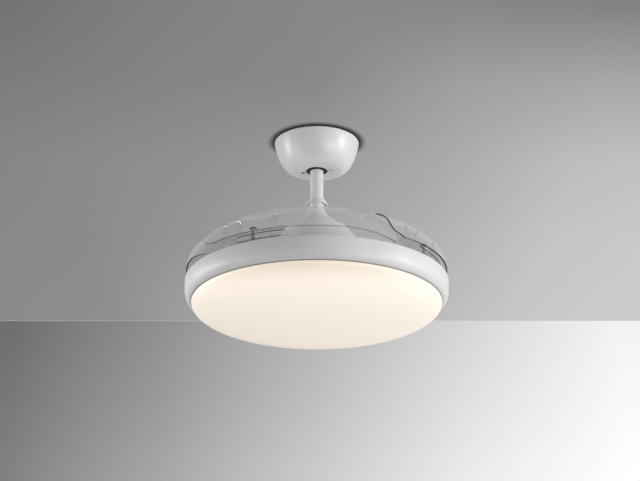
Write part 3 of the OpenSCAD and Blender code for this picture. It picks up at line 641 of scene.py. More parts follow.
def linear(code: str) -> tuple[float, float, float, float]:
    """Turns an sRGB hex colour to the linear one that Blender takes.

    Args:
        code: The colour, as # and six digits.

    Returns:
        Red, green, blue and full cover.
    """
    parts = [int(code[i : i + 2], 16) / 255 for i in (1, 3, 5)]
    return (
        *(p / 12.92 if p <= 0.04045 else ((p + 0.055) / 1.055) ** 2.4 for p in parts),
        1.0,
    )


def feed(node: bpy.types.Node, inputs: Inputs) -> None:
    """Sets or links a node's inputs.

    Args:
        node: The node.
        inputs: A value for an input, or the socket that feeds it.
    """
    for key, value in inputs.items():
        if isinstance(value, Socket):
            node.id_data.links.new(value, node.inputs[key])
        else:
            node.inputs[key].default_value = value


def add(
    tree: Tree,
    kind: str,
    inputs: Inputs | None = None,
    stops: Sequence[tuple[float, str]] = (),
    **settings: object,
) -> bpy.types.Node:
    """Adds a node with its settings and its links.

    Args:
        tree: The material's node tree.
        kind: The node's type, without the ShaderNode that each begins with.
        inputs: A value for an input, or the socket that feeds it.
        stops: Place and sRGB colour of each stop, where the node has a colour ramp.
        settings: Values for the node's own properties.

    Returns:
        The node.
    """
    made = tree.nodes.new("ShaderNode" + kind)
    for key, value in settings.items():
        setattr(made, key, value)
    feed(made, inputs or {})
    if stops:
        marks = made.color_ramp.elements
        while len(marks) < len(stops):
            marks.new(0.5)
        for mark, (position, code) in zip(marks, stops):
            mark.position = position
            mark.color = linear(code)
    return made


@dataclass(frozen=True)
class Surface:
    """What every finish has: a name, and a material that is built once."""

    name: str

    def look(self, tree: Tree, at: Socket) -> Inputs:
        """What the shader's inputs get, from the place on the piece."""
        raise NotImplementedError

    @lru_cache(maxsize=None)
    def material(self) -> bpy.types.Material:
        """The finish's material.

        Returns:
            The material, which is built at the first call.
        """
        made = bpy.data.materials.new(self.name)
        made.use_nodes = True
        tree = made.node_tree
        at = add(tree, "TexCoord").outputs["Object"]
        feed(tree.nodes["Principled BSDF"], self.look(tree, at))
        return made


class Grain(Enum):
    """How a surface was made, which sets the pattern of its small relief."""

    PEEL = "sprayed powder that melted, with soft low hills"
    SPARK = "a mould that was spark eroded, with fine even grain"
    BRUSHED = "fine lines along one way from brushing or rolling"
    TURNED = "fine rings round the axis from a lathe"
    LAYERED = "thin sheets on each other"
    WOUND = "wires side by side"
    FLAT = "a smooth sheet with faint cloudiness"


@dataclass(frozen=True)
class Finish(Surface):
    """An opaque finish with a fine relief and a slight drift of colour and gloss.

    The sizes are real ones in millimetres. colour is the main colour and second the
    one it drifts to, both sRGB.
    """

    colour: str
    second: str
    grain: Grain
    grain_mm: float
    depth_mm: float
    roughness: float
    metallic: float = 0.0
    coat: float = 0.0
    coat_roughness: float = 0.12
    drift_mm: float = 60.0
    gloss_drift: float = 0.05

    def pattern(self, tree: Tree, at: Socket) -> Socket:
        """Adds the relief's pattern.

        Args:
            tree: The material's node tree.
            at: The place on the piece.

        Returns:
            The relief's height over the surface, from 0 to 1.
        """
        scale = 1 / (self.grain_mm * MM)
        # A wave texture's lines lie 2 pi / 20 apart at a scale of 1. So they are drawn
        # 2 pi times the grain apart, coarse enough to show.
        line_scale = scale / 20
        if self.grain is Grain.TURNED:
            inputs = {"Vector": at, "Scale": line_scale, "Distortion": 0.6, "Detail": 2.0}
            return add(
                tree, "TexWave", inputs, wave_type="RINGS", rings_direction="Z"
            ).outputs["Fac"]
        if self.grain in (Grain.LAYERED, Grain.WOUND):
            inputs = {"Vector": at, "Scale": line_scale, "Distortion": 0.4, "Detail": 1.0}
            return add(
                tree, "TexWave", inputs, wave_type="BANDS", bands_direction="Z"
            ).outputs["Fac"]
        if self.grain is Grain.SPARK:
            inputs = {"Vector": at, "Scale": scale}
            return add(tree, "TexVoronoi", inputs).outputs["Distance"]
        stretch = (0.06, 1, 1) if self.grain is Grain.BRUSHED else (1, 1, 1)
        drawn = add(tree, "Mapping", {"Vector": at, "Scale": stretch}).outputs["Vector"]
        inputs = {"Vector": drawn, "Scale": scale, "Detail": 3.0, "Roughness": 0.5}
        return add(tree, "TexNoise", inputs).outputs["Fac"]

    def look(self, tree: Tree, at: Socket) -> Inputs:
        """What the shader's inputs get.

        Args:
            tree: The material's node tree.
            at: The place on the piece.

        Returns:
            A value or a socket for each input.
        """
        scale = 1 / (self.drift_mm * MM)
        drift = add(tree, "TexNoise", {"Vector": at, "Scale": scale, "Detail": 4.0})
        height = self.pattern(tree, at)
        stops = ((0.35, self.colour), (0.65, self.second))
        tint = add(tree, "ValToRGB", {"Fac": drift.outputs["Fac"]}, stops)
        gloss = {
            "Value": height,
            "To Min": max(self.roughness - self.gloss_drift, 0.02),
            "To Max": min(self.roughness + self.gloss_drift, 1),
        }
        relief = {"Height": height, "Distance": self.depth_mm * MM, "Strength": 1.0}
        inputs: Inputs = {
            "Base Color": tint.outputs["Color"],
            "Roughness": add(tree, "MapRange", gloss).outputs["Result"],
            "Normal": add(tree, "Bump", relief).outputs["Normal"],
            "Metallic": self.metallic,
        }
        if self.coat:
            inputs |= {"Coat Weight": self.coat, "Coat Roughness": self.coat_roughness}
        return inputs


# Polyester powder coat on steel: satin white with the soft hills of melted powder.
POWDER_COAT = Finish(
    "powder_coated_steel", "#EDEDED", "#E9E9E9", Grain.PEEL, 1.6, 0.012, 0.38, coat=0.15
)
# Injection moulded white ABS from a fine spark eroded mould: matt with a soft shine.
WHITE_ABS = Finish(
    "moulded_white_abs", "#EDEDEE", "#E9E9EA", Grain.SPARK, 0.6, 0.008, 0.42
)
# Rolled aluminium sheet under white reflector lacquer: even, bright and half matt.
REFLECTOR = Finish(
    "lacquered_aluminium_sheet", "#F2F2F0", "#EDEDEA", Grain.FLAT, 9.0, 0.01, 0.5
)
# Bright zinc plate on steel: pale grey metal with faint clouds from the bath.
ZINC = Finish(
    "zinc_plated_steel", "#C9CCD0", "#B9BDC3", Grain.BRUSHED, 0.35, 0.006, 0.33, 1.0,
    drift_mm=7,
)
# Stainless steel screws and pins, polished: the brightest metal in the fan.
STAINLESS = Finish(
    "polished_stainless_steel", "#EEF0F2", "#E6E8EB", Grain.FLAT, 3.0, 0.002, 0.22, 1.0,
    drift_mm=5,
)
# Oiled dark steel, rolled and ground: nearly black metal with a dull gleam.
DARK_STEEL = Finish(
    "oiled_dark_steel", "#5B5E63", "#4B4E53", Grain.BRUSHED, 0.3, 0.005, 0.4, 1.0,
    drift_mm=9,
)
# Strip steel under black electrophoretic paint: even, thin and nearly black. The near
# black is partly painted shade, for the dark inside the canopy that shows through the
# rod's hole.
BLACK_STEEL = Finish(
    "black_coated_steel", "#17181A", "#1D1E20", Grain.PEEL, 2.2, 0.008, 0.5, drift_mm=25
)
# Electrical steel sheets in a stack: dark, with a line for each 0.5 mm sheet that is
# drawn every 6 mm so that it shows.
LAMINATIONS = Finish(
    "stacked_electrical_steel", "#6A6C70", "#54565A", Grain.LAYERED, 1.0, 0.05, 0.45,
    1.0, drift_mm=12,
)
# Die cast aluminium that was turned on a lathe: the tool's fine rings, drawn 5 mm apart
# so that they show.
CAST = Finish(
    "turned_cast_aluminium", "#C3C5C7", "#B4B7BA", Grain.TURNED, 0.8, 0.01, 0.42, 1.0,
    drift_mm=25,
)
# Enamelled copper wire, 0.8 mm thick, laid side by side: glossy red brown, with the
# wires drawn 5 mm apart so that they show.
COPPER = Finish(
    "enamelled_copper_wire", "#B5673A", "#96502B", Grain.WOUND, 0.8, 0.2, 0.3, 1.0,
    coat=0.6, drift_mm=8,
)
# Black glass filled nylon: dark and slightly rough where the fibres lie.
NYLON = Finish("black_nylon", "#0C0C0D", "#121213", Grain.SPARK, 0.5, 0.015, 0.55)
# Soft silicone sponge: dull warm grey with closed pores.
RUBBER = Finish("grey_silicone_seal", "#8A8379", "#7E776D", Grain.SPARK, 0.5, 0.03, 0.8)
# Flexible cable sheath in white: slightly waxy.
SHEATH = Finish("white_cable_sheath", "#E6E6E2", "#DCDCD8", Grain.PEEL, 2.5, 0.02, 0.45)


@dataclass(frozen=True)
class ClearPlastic(Surface):
    """Clear moulded polycarbonate, as a thin sheet that doesn't bend what is behind it.

    haze is how much of a face is seen when it is looked at square on, and rim how much
    at a grazing angle, where clear plastic mirrors the room. span is where one turns
    into the other. one_sided is True where a face is seen from its front alone, and
    ring where the angle counts that a ring round the axis is seen at, so that it is
    darkest where the eye looks along it.
    """

    colour: str
    haze: float
    rim: float
    roughness: float
    flow_mm: float = 70.0
    flow_depth_mm: float = 0.15
    span: tuple[float, float] = (0.15, 0.5)
    one_sided: bool = False
    ring: bool = False

    def from_axis(self, tree: Tree, at: Socket) -> Socket:
        """Adds the way out from the fan's axis.

        Args:
            tree: The material's node tree.
            at: The place on the piece.

        Returns:
            That way, in the world's axes.
        """
        flat = add(tree, "Mapping", {"Vector": at, "Scale": (1, 1, 0)})
        return add(
            tree,
            "VectorTransform",
            {"Vector": flat.outputs["Vector"]},
            vector_type="NORMAL",
            convert_from="OBJECT",
            convert_to="WORLD",
        ).outputs["Vector"]

    def look(self, tree: Tree, at: Socket) -> Inputs:
        """What the shader's inputs get.

        Args:
            tree: The material's node tree.
            at: The place on the piece.

        Returns:
            A value or a socket for each input.
        """
        scale = 1 / (self.flow_mm * MM)
        ripple = add(tree, "TexNoise", {"Vector": at, "Scale": scale, "Detail": 1.0})
        bump = {
            "Height": ripple.outputs["Fac"],
            "Distance": self.flow_depth_mm * MM,
            "Strength": 1.0,
        }
        relief = add(tree, "Bump", bump).outputs["Normal"]
        across = self.from_axis(tree, at) if self.ring else relief
        grazing = add(tree, "LayerWeight", {"Blend": 0.12, "Normal": across})
        cover = {
            "Value": grazing.outputs["Facing"],
            "From Min": self.span[0],
            "From Max": self.span[1],
            "To Min": self.haze,
            "To Max": self.rim,
        }
        seen = add(tree, "MapRange", cover).outputs["Result"]
        if self.one_sided:
            behind = add(tree, "NewGeometry").outputs["Backfacing"]
            sides = {0: behind, 2: seen, 3: 0.0}
            seen = add(tree, "Mix", sides, data_type="FLOAT").outputs[0]
        return {
            "Base Color": linear(self.colour),
            "Roughness": self.roughness,
            "Alpha": seen,
            "Normal": relief,
        }


# Clear polycarbonate sheet, moulded and polished: a pale cool haze over what is behind.
CLEAR_BLADE = ClearPlastic("clear_polycarbonate", "#F8FBFF", 0.08, 0.55, 0.08)
# The same sheet seen from inside the dome, darker and greyer: painted shade, since little
# light falls there.
CLEAR_INSIDE_PAINTED_SHADE = ClearPlastic(
    "clear_polycarbonate_inside_painted_shade", "#63686C", 0.2, 0.0, 0.2, span=(0.18, 0.34),
    one_sided=True,
)
# The edge of the same sheet, near black from its front and clear from behind: painted
# shade in place of the dark that a clear edge shows by refraction.
CLEAR_EDGE_PAINTED_SHADE = ClearPlastic(
    "polycarbonate_edge_painted_shade", "#0E1011", 0.93, 0.97, 0.3, one_sided=True
)
# The flat lip under the rim, near black: painted shade in place of the dark line that the
# rim's edge shows by refraction. It is darkest where the eye looks along it, and weak
# from in front.
CLEAR_LIP_PAINTED_SHADE = ClearPlastic(
    "polycarbonate_lip_painted_shade", "#0E1011", 0.4, 0.97, 0.3, span=(0.0, 0.2), one_sided=True,
    ring=True,
)
# The thick ribbed arm in the same plastic: each wall greys what is behind it a little.
# Its grey, darker than the blade's, is partly painted shade for the dark gap under the
# blades.
CLEAR_ARM = ClearPlastic("clear_ribbed_polycarbonate", "#A3A8AC", 0.06, 0.3, 0.1)


@dataclass(frozen=True)
class OpalAcrylic(Surface):
    """Opal acrylic bowl over warm white LEDs: an even glow that falls off at the rim.

    The edge at the seam, which the drum shades from the lights, doesn't glow. unlit_mm
    is how far under the seam the glow starts, and lit_mm how far under it it is full.
    """

    name: str = "opal_acrylic"
    colour: str = "#BDB6AC"
    square_glow: str = "#D9CCBC"
    middle_glow: str = "#F8EDDE"
    grazing_glow: str = "#F0E3D4"
    strength: float = 0.82
    grazing_share: float = 0.71
    grazing_from: float = 0.4
    seam_mm: float = -337.3
    unlit_mm: float = 0.4
    lit_mm: float = 1.2
    mottle_mm: float = 90.0
    gloss: tuple[float, float] = (0.3, 0.42)
    mirror: float = 0.25

    def look(self, tree: Tree, at: Socket) -> Inputs:
        """What the shader's inputs get.

        Args:
            tree: The material's node tree.
            at: The place on the piece.

        Returns:
            A value or a socket for each input.
        """
        scale = 1 / (self.mottle_mm * MM)
        mottle = add(tree, "TexNoise", {"Vector": at, "Scale": scale, "Detail": 1.0})
        gloss = {
            "Value": mottle.outputs["Fac"],
            "To Min": self.gloss[0],
            "To Max": self.gloss[1],
        }
        grazing = add(tree, "LayerWeight", {"Blend": 0.5}).outputs["Facing"]
        stops = (
            (0.1, self.square_glow),
            (0.5, self.middle_glow),
            (0.95, self.grazing_glow),
        )
        fall = {
            "Value": grazing,
            "From Min": self.grazing_from,
            "To Min": self.strength,
            "To Max": self.strength * self.grazing_share,
        }
        height = add(tree, "SeparateXYZ", {"Vector": at}).outputs["Z"]
        lit = {
            "Value": height,
            "From Min": (self.seam_mm - self.lit_mm) * MM,
            "From Max": (self.seam_mm - self.unlit_mm) * MM,
            "To Min": 1.0,
            "To Max": 0.0,
        }
        both = {
            0: add(tree, "MapRange", fall).outputs["Result"],
            1: add(tree, "MapRange", lit).outputs["Result"],
        }
        glow = add(tree, "ValToRGB", {"Fac": grazing}, stops).outputs["Color"]
        power = add(tree, "Math", both, operation="MULTIPLY").outputs["Value"]
        return {
            "Base Color": linear(self.colour),
            "Specular IOR Level": self.mirror,
            "Emission Strength": power,
            "Emission Color": glow,
            "Roughness": add(tree, "MapRange", gloss).outputs["Result"],
        }


@dataclass(frozen=True)
class Phosphor(Surface):
    """Yellow phosphor over a blue LED chip, lit: a soft warm square."""

    name: str = "led_phosphor"
    colour: str = "#F2D27A"
    glow: str = "#FFE9C4"
    strength: float = 0.9
    roughness: float = 0.5
    speck_mm: float = 0.8

    def look(self, tree: Tree, at: Socket) -> Inputs:
        """What the shader's inputs get.

        Args:
            tree: The material's node tree.
            at: The place on the piece.

        Returns:
            A value or a socket for each input.
        """
        scale = 1 / (self.speck_mm * MM)
        speck = add(tree, "TexNoise", {"Vector": at, "Scale": scale}).outputs["Fac"]
        stops = ((0.0, self.colour), (1.0, self.glow))
        return {
            "Base Color": add(tree, "ValToRGB", {"Fac": speck}, stops).outputs["Color"],
            "Emission Color": linear(self.glow),
            "Emission Strength": self.strength,
            "Roughness": self.roughness,
        }


def coated(piece: Piece, *finishes: Surface) -> Piece:
    """Gives a piece its finishes, and leaves each face in its material slot.

    Args:
        piece: The piece to dress.
        finishes: A finish for each of the piece's material slots.

    Returns:
        The piece.
    """
    polygons = piece.data.polygons
    indices = [polygon.material_index for polygon in polygons]
    piece.data.materials.clear()
    for finish in finishes:
        piece.data.materials.append(finish.material())
    polygons.foreach_set("material_index", indices)
    return piece


def eased(node: Piece, name: str, width: float, *coats: Surface) -> Piece:
    """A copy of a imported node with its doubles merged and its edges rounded.

    Args:
        node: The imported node, which stays as it is.
        name: Name of the copy.
        width: Width of the rounding in millimetres.
        coats: Finishes for the copy, of which the last one goes on the rounding.

    Returns:
        The copy, which rides on nothing yet.
    """
    flat_enough = math.radians(0.5)
    clear_selection()
    piece = node.copy()
    piece.data = node.data.copy()
    piece.parent = None
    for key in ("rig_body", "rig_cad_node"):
        del piece[key]
    bpy.context.scene.collection.objects.link(piece)
    piece.name = piece.data.name = name
    with editing(piece):
        merge_doubles()
        bpy.ops.mesh.dissolve_limited(angle_limit=flat_enough)
    if coats:
        coated(piece, *coats)
    return smoothed(bevelled(piece, width, coat=len(coats) - 1))


# ---------- Sub-assemblies ----------


@dataclass
class SubAssembly:
    """A group of pieces that come apart together on the bench."""

    frame: dict
    body: str = ""

    def keep(
        self, piece: Piece, node: str, slot: str, *finishes: Surface, body: str = ""
    ) -> None:
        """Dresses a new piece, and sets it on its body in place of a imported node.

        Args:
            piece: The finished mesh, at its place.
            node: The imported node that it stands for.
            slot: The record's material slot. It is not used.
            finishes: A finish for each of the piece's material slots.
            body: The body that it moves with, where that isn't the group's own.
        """
        coated(piece, *finishes)
        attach(piece, body or self.body)
        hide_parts(node)
        piece.data.calc_loop_triangles()
        count = len(piece.data.loop_triangles)
        log.info("%s: %d triangles, for %s", piece.name, count, node)

    def ease(
        self, node: str, name: str, width: float, slot: str, finish: Surface
    ) -> None:
        """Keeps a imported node's shape, with its edges rounded."""
        self.keep(eased(self.frame["nodes"][node], name, width), node, slot, finish)

    def dress(self, finish: Surface, *nodes: str) -> None:
        """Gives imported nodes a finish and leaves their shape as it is.

        Args:
            finish: The finish.
            nodes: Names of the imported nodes.
        """
        for name in nodes:
            node = self.frame["nodes"][name]
            node.data.materials.clear()
            node.data.materials.append(finish.material())
            log.info("%s: packed shape, %s", name, finish.name)


@dataclass
class PanHeadScrew:
    """A small pan head screw with a cross recess. Sizes in millimetres."""

    shank_r: float = 1.5
    head_r: float = 2.9
    head_h: float = 1.7
    recess_w: float = 0.55

    def build(self, name: str, length: float) -> Piece:
        """Models the screw with the underside of its head on z = 0.

        Args:
            name: Name of the piece.
            length: Length of the shank in millimetres.

        Returns:
            The screw, point down.
        """
        outline = rounded(
            [
                (0, -length, 0),
                (self.shank_r - 0.4, -length, 0),
                (self.shank_r, -length + 0.6, 0),
                (self.shank_r, 0, 0),
                (self.head_r, 0, 0.2),
                (self.head_r * 0.92, self.head_h * 0.62, 0.8),
                (self.head_r * 0.55, self.head_h, 0.8),
                (0, self.head_h, 0),
            ],
            3,
        )
        piece = turned(name, [outline], 24, closed=False)
        size = (self.head_r * 1.1, self.recess_w, self.head_h * 1.1)
        for step in (0, 90):
            cut(piece, slab(size, shift(0, 0, self.head_h) @ turn(step)))
        return smoothed(piece)


@dataclass
class CeilingMount(SubAssembly):
    """What stays still on the ceiling: bracket, canopy, its screws and the terminals."""

    body: str = "ceiling_side"
    canopy_r: float = 83
    canopy_h: float = 59
    crown_power: float = 6
    crown_bend: float = 1.12
    gap: float = 2
    wall: float = 1.5
    flat_r: float = 46
    hole_r: float = 21
    screw_at: float = 27.5
    screw_turn: float = -18
    slot_r: float = 1.9
    slot_head_r: float = 3.6
    slot_l: float = 3
    bracket_t: float = 2
    screw_end: float = 2

    @property
    def floor_z(self) -> float:
        """Height of the canopy's flat underside."""
        return -self.gap - self.canopy_h

    def canopy_path(self, steps: int = 28) -> list[Point]:
        """The canopy's outer face from its rim down to the rod's hole.

        Args:
            steps: Steps along its curve.

        Returns:
            The face's points.
        """
        flat_share = (self.flat_r / self.canopy_r) ** self.crown_power
        path = []
        for i in range(steps + 1):
            down = math.sin(math.radians(90 * i / steps))
            narrower = (1 - flat_share) * down**self.crown_bend
            r = self.canopy_r * (1 - narrower) ** (1 / self.crown_power)
            path.append((r, -self.gap - self.canopy_h * down))
        return [*path, (self.hole_r, self.floor_z)]

    def screw_places(self) -> list[Matrix]:
        """The places of the two screws on the canopy's underside."""
        return around(2, self.screw_turn, self.screw_at, self.floor_z)

    def build_canopy(self) -> None:
        """Turns the pressed bowl and cuts its two key slots."""
        piece = turned("canopy_bowl", [walled(self.canopy_path(), self.wall, 0.6)], 144)
        neck = (2 * self.slot_r, self.slot_l, 6)
        for place in self.screw_places():
            cut(
                piece,
                peg(self.slot_r, -2, 4, place),
                peg(self.slot_head_r, -2, 4, place @ shift(0, self.slot_l, 0)),
                slab(neck, place @ shift(0, self.slot_l / 2, 1)),
            )
        self.keep(smoothed(piece), "canopy", "white_paint", POWDER_COAT)

    def build_screws(self) -> None:
        """Sets two screws head down in the canopy's underside."""
        length = self.wall + self.bracket_t + self.screw_end
        near, far = (place @ turn(180, "X") for place in self.screw_places())
        first = PanHeadScrew().build("canopy_screw_pair", length)
        other = copied(first, "other", far)
        self.keep(joined(placed(first, near), other), "canopy_screws", "zinc_steel", ZINC)

    def build(self) -> None:
        """Builds and dresses the whole group."""
        self.build_canopy()
        self.build_screws()
        self.ease("ceiling_bracket", "bracket_strip", 0.35, "dark_steel", BLACK_STEEL)
        self.ease("terminal_block", "wire_terminals", 0.5, "white_plastic", WHITE_ABS)


@dataclass
class RodSet(SubAssembly):
    """The ball, the rod, its collar and the coupling that the motor hangs on."""

    body: str = "hanging_unit"
    ball_z: float = -47.4146
    ball_r: float = 20
    ball_half_h: float = 14
    rod_r: float = 12.9
    rod_t: float = 2
    rod_top_z: float = -31.4146
    rod_l: float = 139
    collar_z: float = -133.715
    collar_h: float = 11.5
    collar_top_r: float = 16.6
    collar_lip_r: float = 21
    collar_t: float = 1.8
    collar_roof: float = 3.4
    cross_pin_r: float = 3.05
    cross_pin_z: float = -42.4146
    clevis_z: float = -159.4146
    fit: float = 0.05

    def cross_hole(self, z: float) -> Piece:
        """A cutter for the hole of a pin that runs across the rod."""
        reach = self.ball_r + 10
        return peg(self.cross_pin_r, -reach, reach, shift(0, 0, z) @ turn(90, "Y"))

    def build_ball(self) -> None:
        """Turns the moulded ball that swings in the bracket's seat."""
        steps = 20
        top = math.degrees(math.asin(self.ball_half_h / self.ball_r))
        bore = self.rod_r + self.fit
        corners = [(bore, self.ball_z - self.ball_half_h, 0.3)]
        for i in range(steps + 1):
            a = math.radians(-top + 2 * top * i / steps)
            z = self.ball_z + self.ball_r * math.sin(a)
            corners.append((self.ball_r * math.cos(a), z, 0))
        corners.append((bore, self.ball_z + self.ball_half_h, 0.3))
        piece = turned("hanger_ball_moulding", [rounded(corners, 2)], 72)
        cut(piece, self.cross_hole(self.cross_pin_z))
        self.keep(smoothed(piece), "hanger_ball", "black_plastic", NYLON)

    def build_rod(self) -> None:
        """Turns the tube of the rod and drills its two pin holes."""
        low, fillets = self.rod_top_z - self.rod_l, (0.4, 0.6, 0.6, 0.4)
        outline = band(self.rod_r - self.rod_t, self.rod_r, low, self.rod_top_z, fillets)
        piece = turned("drop_rod", [outline], 64)
        cut(piece, self.cross_hole(self.cross_pin_z))
        cut(piece, self.cross_hole(self.clevis_z))
        self.keep(smoothed(piece), "downrod", "white_paint", POWDER_COAT)

    def build_collar(self) -> None:
        """Turns the bell shaped collar that closes the gap round the rod."""
        bore, top = self.rod_r + self.fit, self.collar_z + self.collar_h
        outline = rounded(
            [
                (bore, top, 0.3),
                (self.collar_top_r - 1, top, 0.6),
                (self.collar_top_r, top - 1.4, 2.5),
                (self.collar_lip_r, self.collar_z + 1.5, 2.0),
                (self.collar_lip_r, self.collar_z, 0.5),
                (self.collar_lip_r - self.collar_t, self.collar_z, 0.5),
                (self.collar_top_r - self.collar_t + 0.6, top - self.collar_roof, 1.5),
                (bore, top - self.collar_roof, 0),
            ]
        )
        piece = turned("rod_bell", [outline], 72)
        self.keep(smoothed(piece), "rod_collar", "white_paint", POWDER_COAT)

    def build(self) -> None:
        """Builds and dresses the whole group."""
        self.build_ball()
        self.build_rod()
        self.build_collar()
        self.ease("motor_coupling", "rod_socket", 0.4, "zinc_steel", ZINC)
        self.ease("lead_connector", "lead_plug", 0.5, "white_plastic", WHITE_ABS)
        self.dress(SHEATH, "supply_lead")
        self.dress(ZINC, "ball_cross_pin", "coupling_pin")
        self.dress(DARK_STEEL, "coupling_clip", "coupling_set_screws")


@dataclass
class TopCover(SubAssembly):
    """The pressed cover that flares from the rod over the motor."""

    body: str = "hanging_unit"
    neck_r: float = 14.6
    neck_z: float = -139.715
    neck_hidden: float = 10
    flare_h: float = 46.3
    flare_power: float = 1.7
    flare_r: float = 60
    flare_steps: int = 28
    shoulder_round: float = 5
    skirt_r: float = 100
    skirt_slope: float = 0.837
    skirt_round: float = 2
    skirt_band: float = 9
    wall: float = 1.6
    seat_r: float = 17
    seat_z: float = -176.415
    screws: int = 3
    screw_at: float = 27
    screw_hole_r: float = 2.05

    def flare_at(self, share: float) -> float:
        """The flare's outer radius at a share of its height."""
        return self.neck_r + (self.flare_r - self.neck_r) * share**self.flare_power

    def path(self) -> list[Point]:
        """The outer face: neck, flare, sloping skirt and band.

        Returns:
            The face's points.
        """
        shoulder_z = self.neck_z - self.flare_h
        foot_z = shoulder_z - (self.skirt_r - self.flare_r) / self.skirt_slope
        corners = [(self.neck_r, self.neck_z + self.neck_hidden, 0.0)]
        for i in range(self.flare_steps):
            share = i / self.flare_steps
            drop = self.flare_h * i / self.flare_steps
            corners.append((self.flare_at(share), self.neck_z - drop, 0.0))
        corners += [
            (self.flare_r, shoulder_z, self.shoulder_round),
            (self.skirt_r, foot_z, self.skirt_round),
            (self.skirt_r, foot_z - self.skirt_band, 0.0),
        ]
        return rounded(corners, 6)

    def build(self) -> None:
        """Turns the cover with the seat that rests on the coupling."""
        share = (self.neck_z - self.seat_z - self.wall) / self.flare_h
        outer = self.flare_at(share) - self.wall / 3
        seat = band(self.seat_r, outer, self.seat_z, self.seat_z + self.wall)
        shell = walled(self.path(), self.wall, 0.5)
        piece = turned("motor_cover_pressing", [shell, seat], 160)
        for place in around(self.screws, 90, self.screw_at):
            cut(piece, peg(self.screw_hole_r, self.seat_z - 1, self.seat_z + 3, place))
        self.keep(smoothed(piece, 28), "motor_top_cover", "white_paint", POWDER_COAT)
        self.dress(ZINC, "cover_screws")


@dataclass
class Motor(SubAssembly):
    """The outer rotor motor under the cover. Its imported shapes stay."""

    def build(self) -> None:
        """Dresses the motor's parts."""
        self.dress(ZINC, "motor_shaft", "shaft_spacers", "shaft_nut")
        self.dress(DARK_STEEL, "upper_bearing", "lower_bearing", "rotor_magnets")
        self.dress(LAMINATIONS, "stator_core")
        self.dress(COPPER, "stator_windings")
        self.dress(CAST, "rotor_shell", "rotor_base")


@dataclass(frozen=True)
class Bayonet:
    """The lugs that hold the light in the drum. Sizes in millimetres and degrees."""

    count: int = 4
    lug_out: float = 3.3
    lug_span: float = 10
    twist: float = 14

    def middle(self, k: int) -> float:
        """The azimuth of a lug's middle, with the light locked."""
        return 45 + 360 / self.count * k


BAYONET = Bayonet()


@dataclass
class Drum(SubAssembly):
    """The round white body with its deck, and the light's carrier inside it."""

    body: str = "hanging_unit"
    radius: float = 251.5
    top_z: float = -295.015
    height: float = 41.1
    round_h: float = 24.7
    wall: float = 3
    foot_r: float = 238.8
    foot_t: float = 2
    ledge_r: float = 237.5
    ledge_out_r: float = 249.5
    ledge_t: float = 2
    deck_z: float = -310.415
    bosses: int = 8
    boss_at: float = 241.5
    boss_r: float = 3.5
    boss_z: Point = (-6, -1)
    boss_bore_r: float = 1.55
    bayonet_r: float = 232
    bayonet_top_z: float = -325.615
    bayonet_t: float = 2.5
    sunk: float = 5
    lug_play: float = 1

    @property
    def bottom_z(self) -> float:
        """Height of the ring's foot."""
        return self.top_z - self.height

    def path(self, steps: int = 24) -> list[Point]:
        """The outer face from the top edge down to the seam.

        Args:
            steps: Steps along its shoulder.

        Returns:
            The face's points.
        """
        path = [
            (self.radius - 1, self.top_z),
            (self.radius - 0.3, self.top_z - 0.3),
            (self.radius, self.top_z - 1),
        ]
        for i in range(steps + 1):
            a = math.radians(90 * i / steps)
            r = self.foot_r + (self.radius - self.foot_r) * math.cos(a)
            path.append((r, self.bottom_z + self.round_h * (1 - math.sin(a))))
        return path

    def edged(self, inner: float, outer: float, low: float, high: float) -> list[Point]:
        """The outline of a ledge inside the ring, with its inner edges rounded."""
        return band(inner, outer, low, high, (0.3, 0, 0, 0.3))

    def build_ring(self) -> Piece:
        """Turns the ring with the ledge that the deck rests on.

        Returns:
            The ring.
        """
        low, high = self.deck_z - self.ledge_t, self.deck_z
        ledge = self.edged(self.ledge_r, self.ledge_out_r, low, high)
        return turned("drum_moulding", [walled(self.path(), self.wall, 0.4), ledge], 192)

    def build_notched(self, outer: float, low: float, high: float) -> Piece:
        """Turns a ledge with the notches that the light's lugs pass through.

        Args:
            outer: Its outer radius, in the ring's wall.
            low: Height of its underside.
            high: Height of its top.

        Returns:
            The ledge.
        """
        piece = turned("ledge", [self.edged(self.bayonet_r, outer, low, high)], 192)
        reach = self.bayonet_r + BAYONET.lug_out + self.lug_play
        span = BAYONET.lug_span + 2 * self.lug_play
        for k in range(BAYONET.count):
            notch = band(self.bayonet_r - 5, reach, low - 1, high + 1)
            cut(piece, sector("notch", notch, BAYONET.middle(k) + BAYONET.twist, span))
        return piece

    def build_bosses(self) -> list[Piece]:
        """Turns the bosses that the deck's screws hold in.

        Returns:
            The bosses, each at its place.
        """
        outline = band(self.boss_bore_r, self.boss_r, *self.boss_z, (0, 0.4, 0, 0))
        places = around(self.bosses, 180 / self.bosses, self.boss_at, self.deck_z)
        return [placed(turned("boss", [outline], 24), place) for place in places]

    def build(self) -> None:
        """Builds and dresses the whole group."""
        bayonet_low = self.bayonet_top_z - self.bayonet_t
        foot_top = self.bottom_z + self.foot_t
        ring = joined(
            self.build_ring(),
            self.build_notched(self.radius - self.sunk, bayonet_low, self.bayonet_top_z),
            self.build_notched(self.foot_r, self.bottom_z, foot_top),
            *self.build_bosses(),
        )
        self.keep(smoothed(ring, 28), "drum_ring", "white_plastic", WHITE_ABS)
        self.ease("driver_box", "driver_case", 0.8, "white_plastic", WHITE_ABS)
        self.ease("receiver_box", "receiver_case", 0.8, "white_plastic", WHITE_ABS)
        self.dress(REFLECTOR, "drum_deck", "led_panel", "led_board")
        self.dress(ZINC, "deck_screws", "panel_standoffs")
        self.dress(Phosphor(), "led_chips")
        self.dress(RUBBER, "seam_seal")


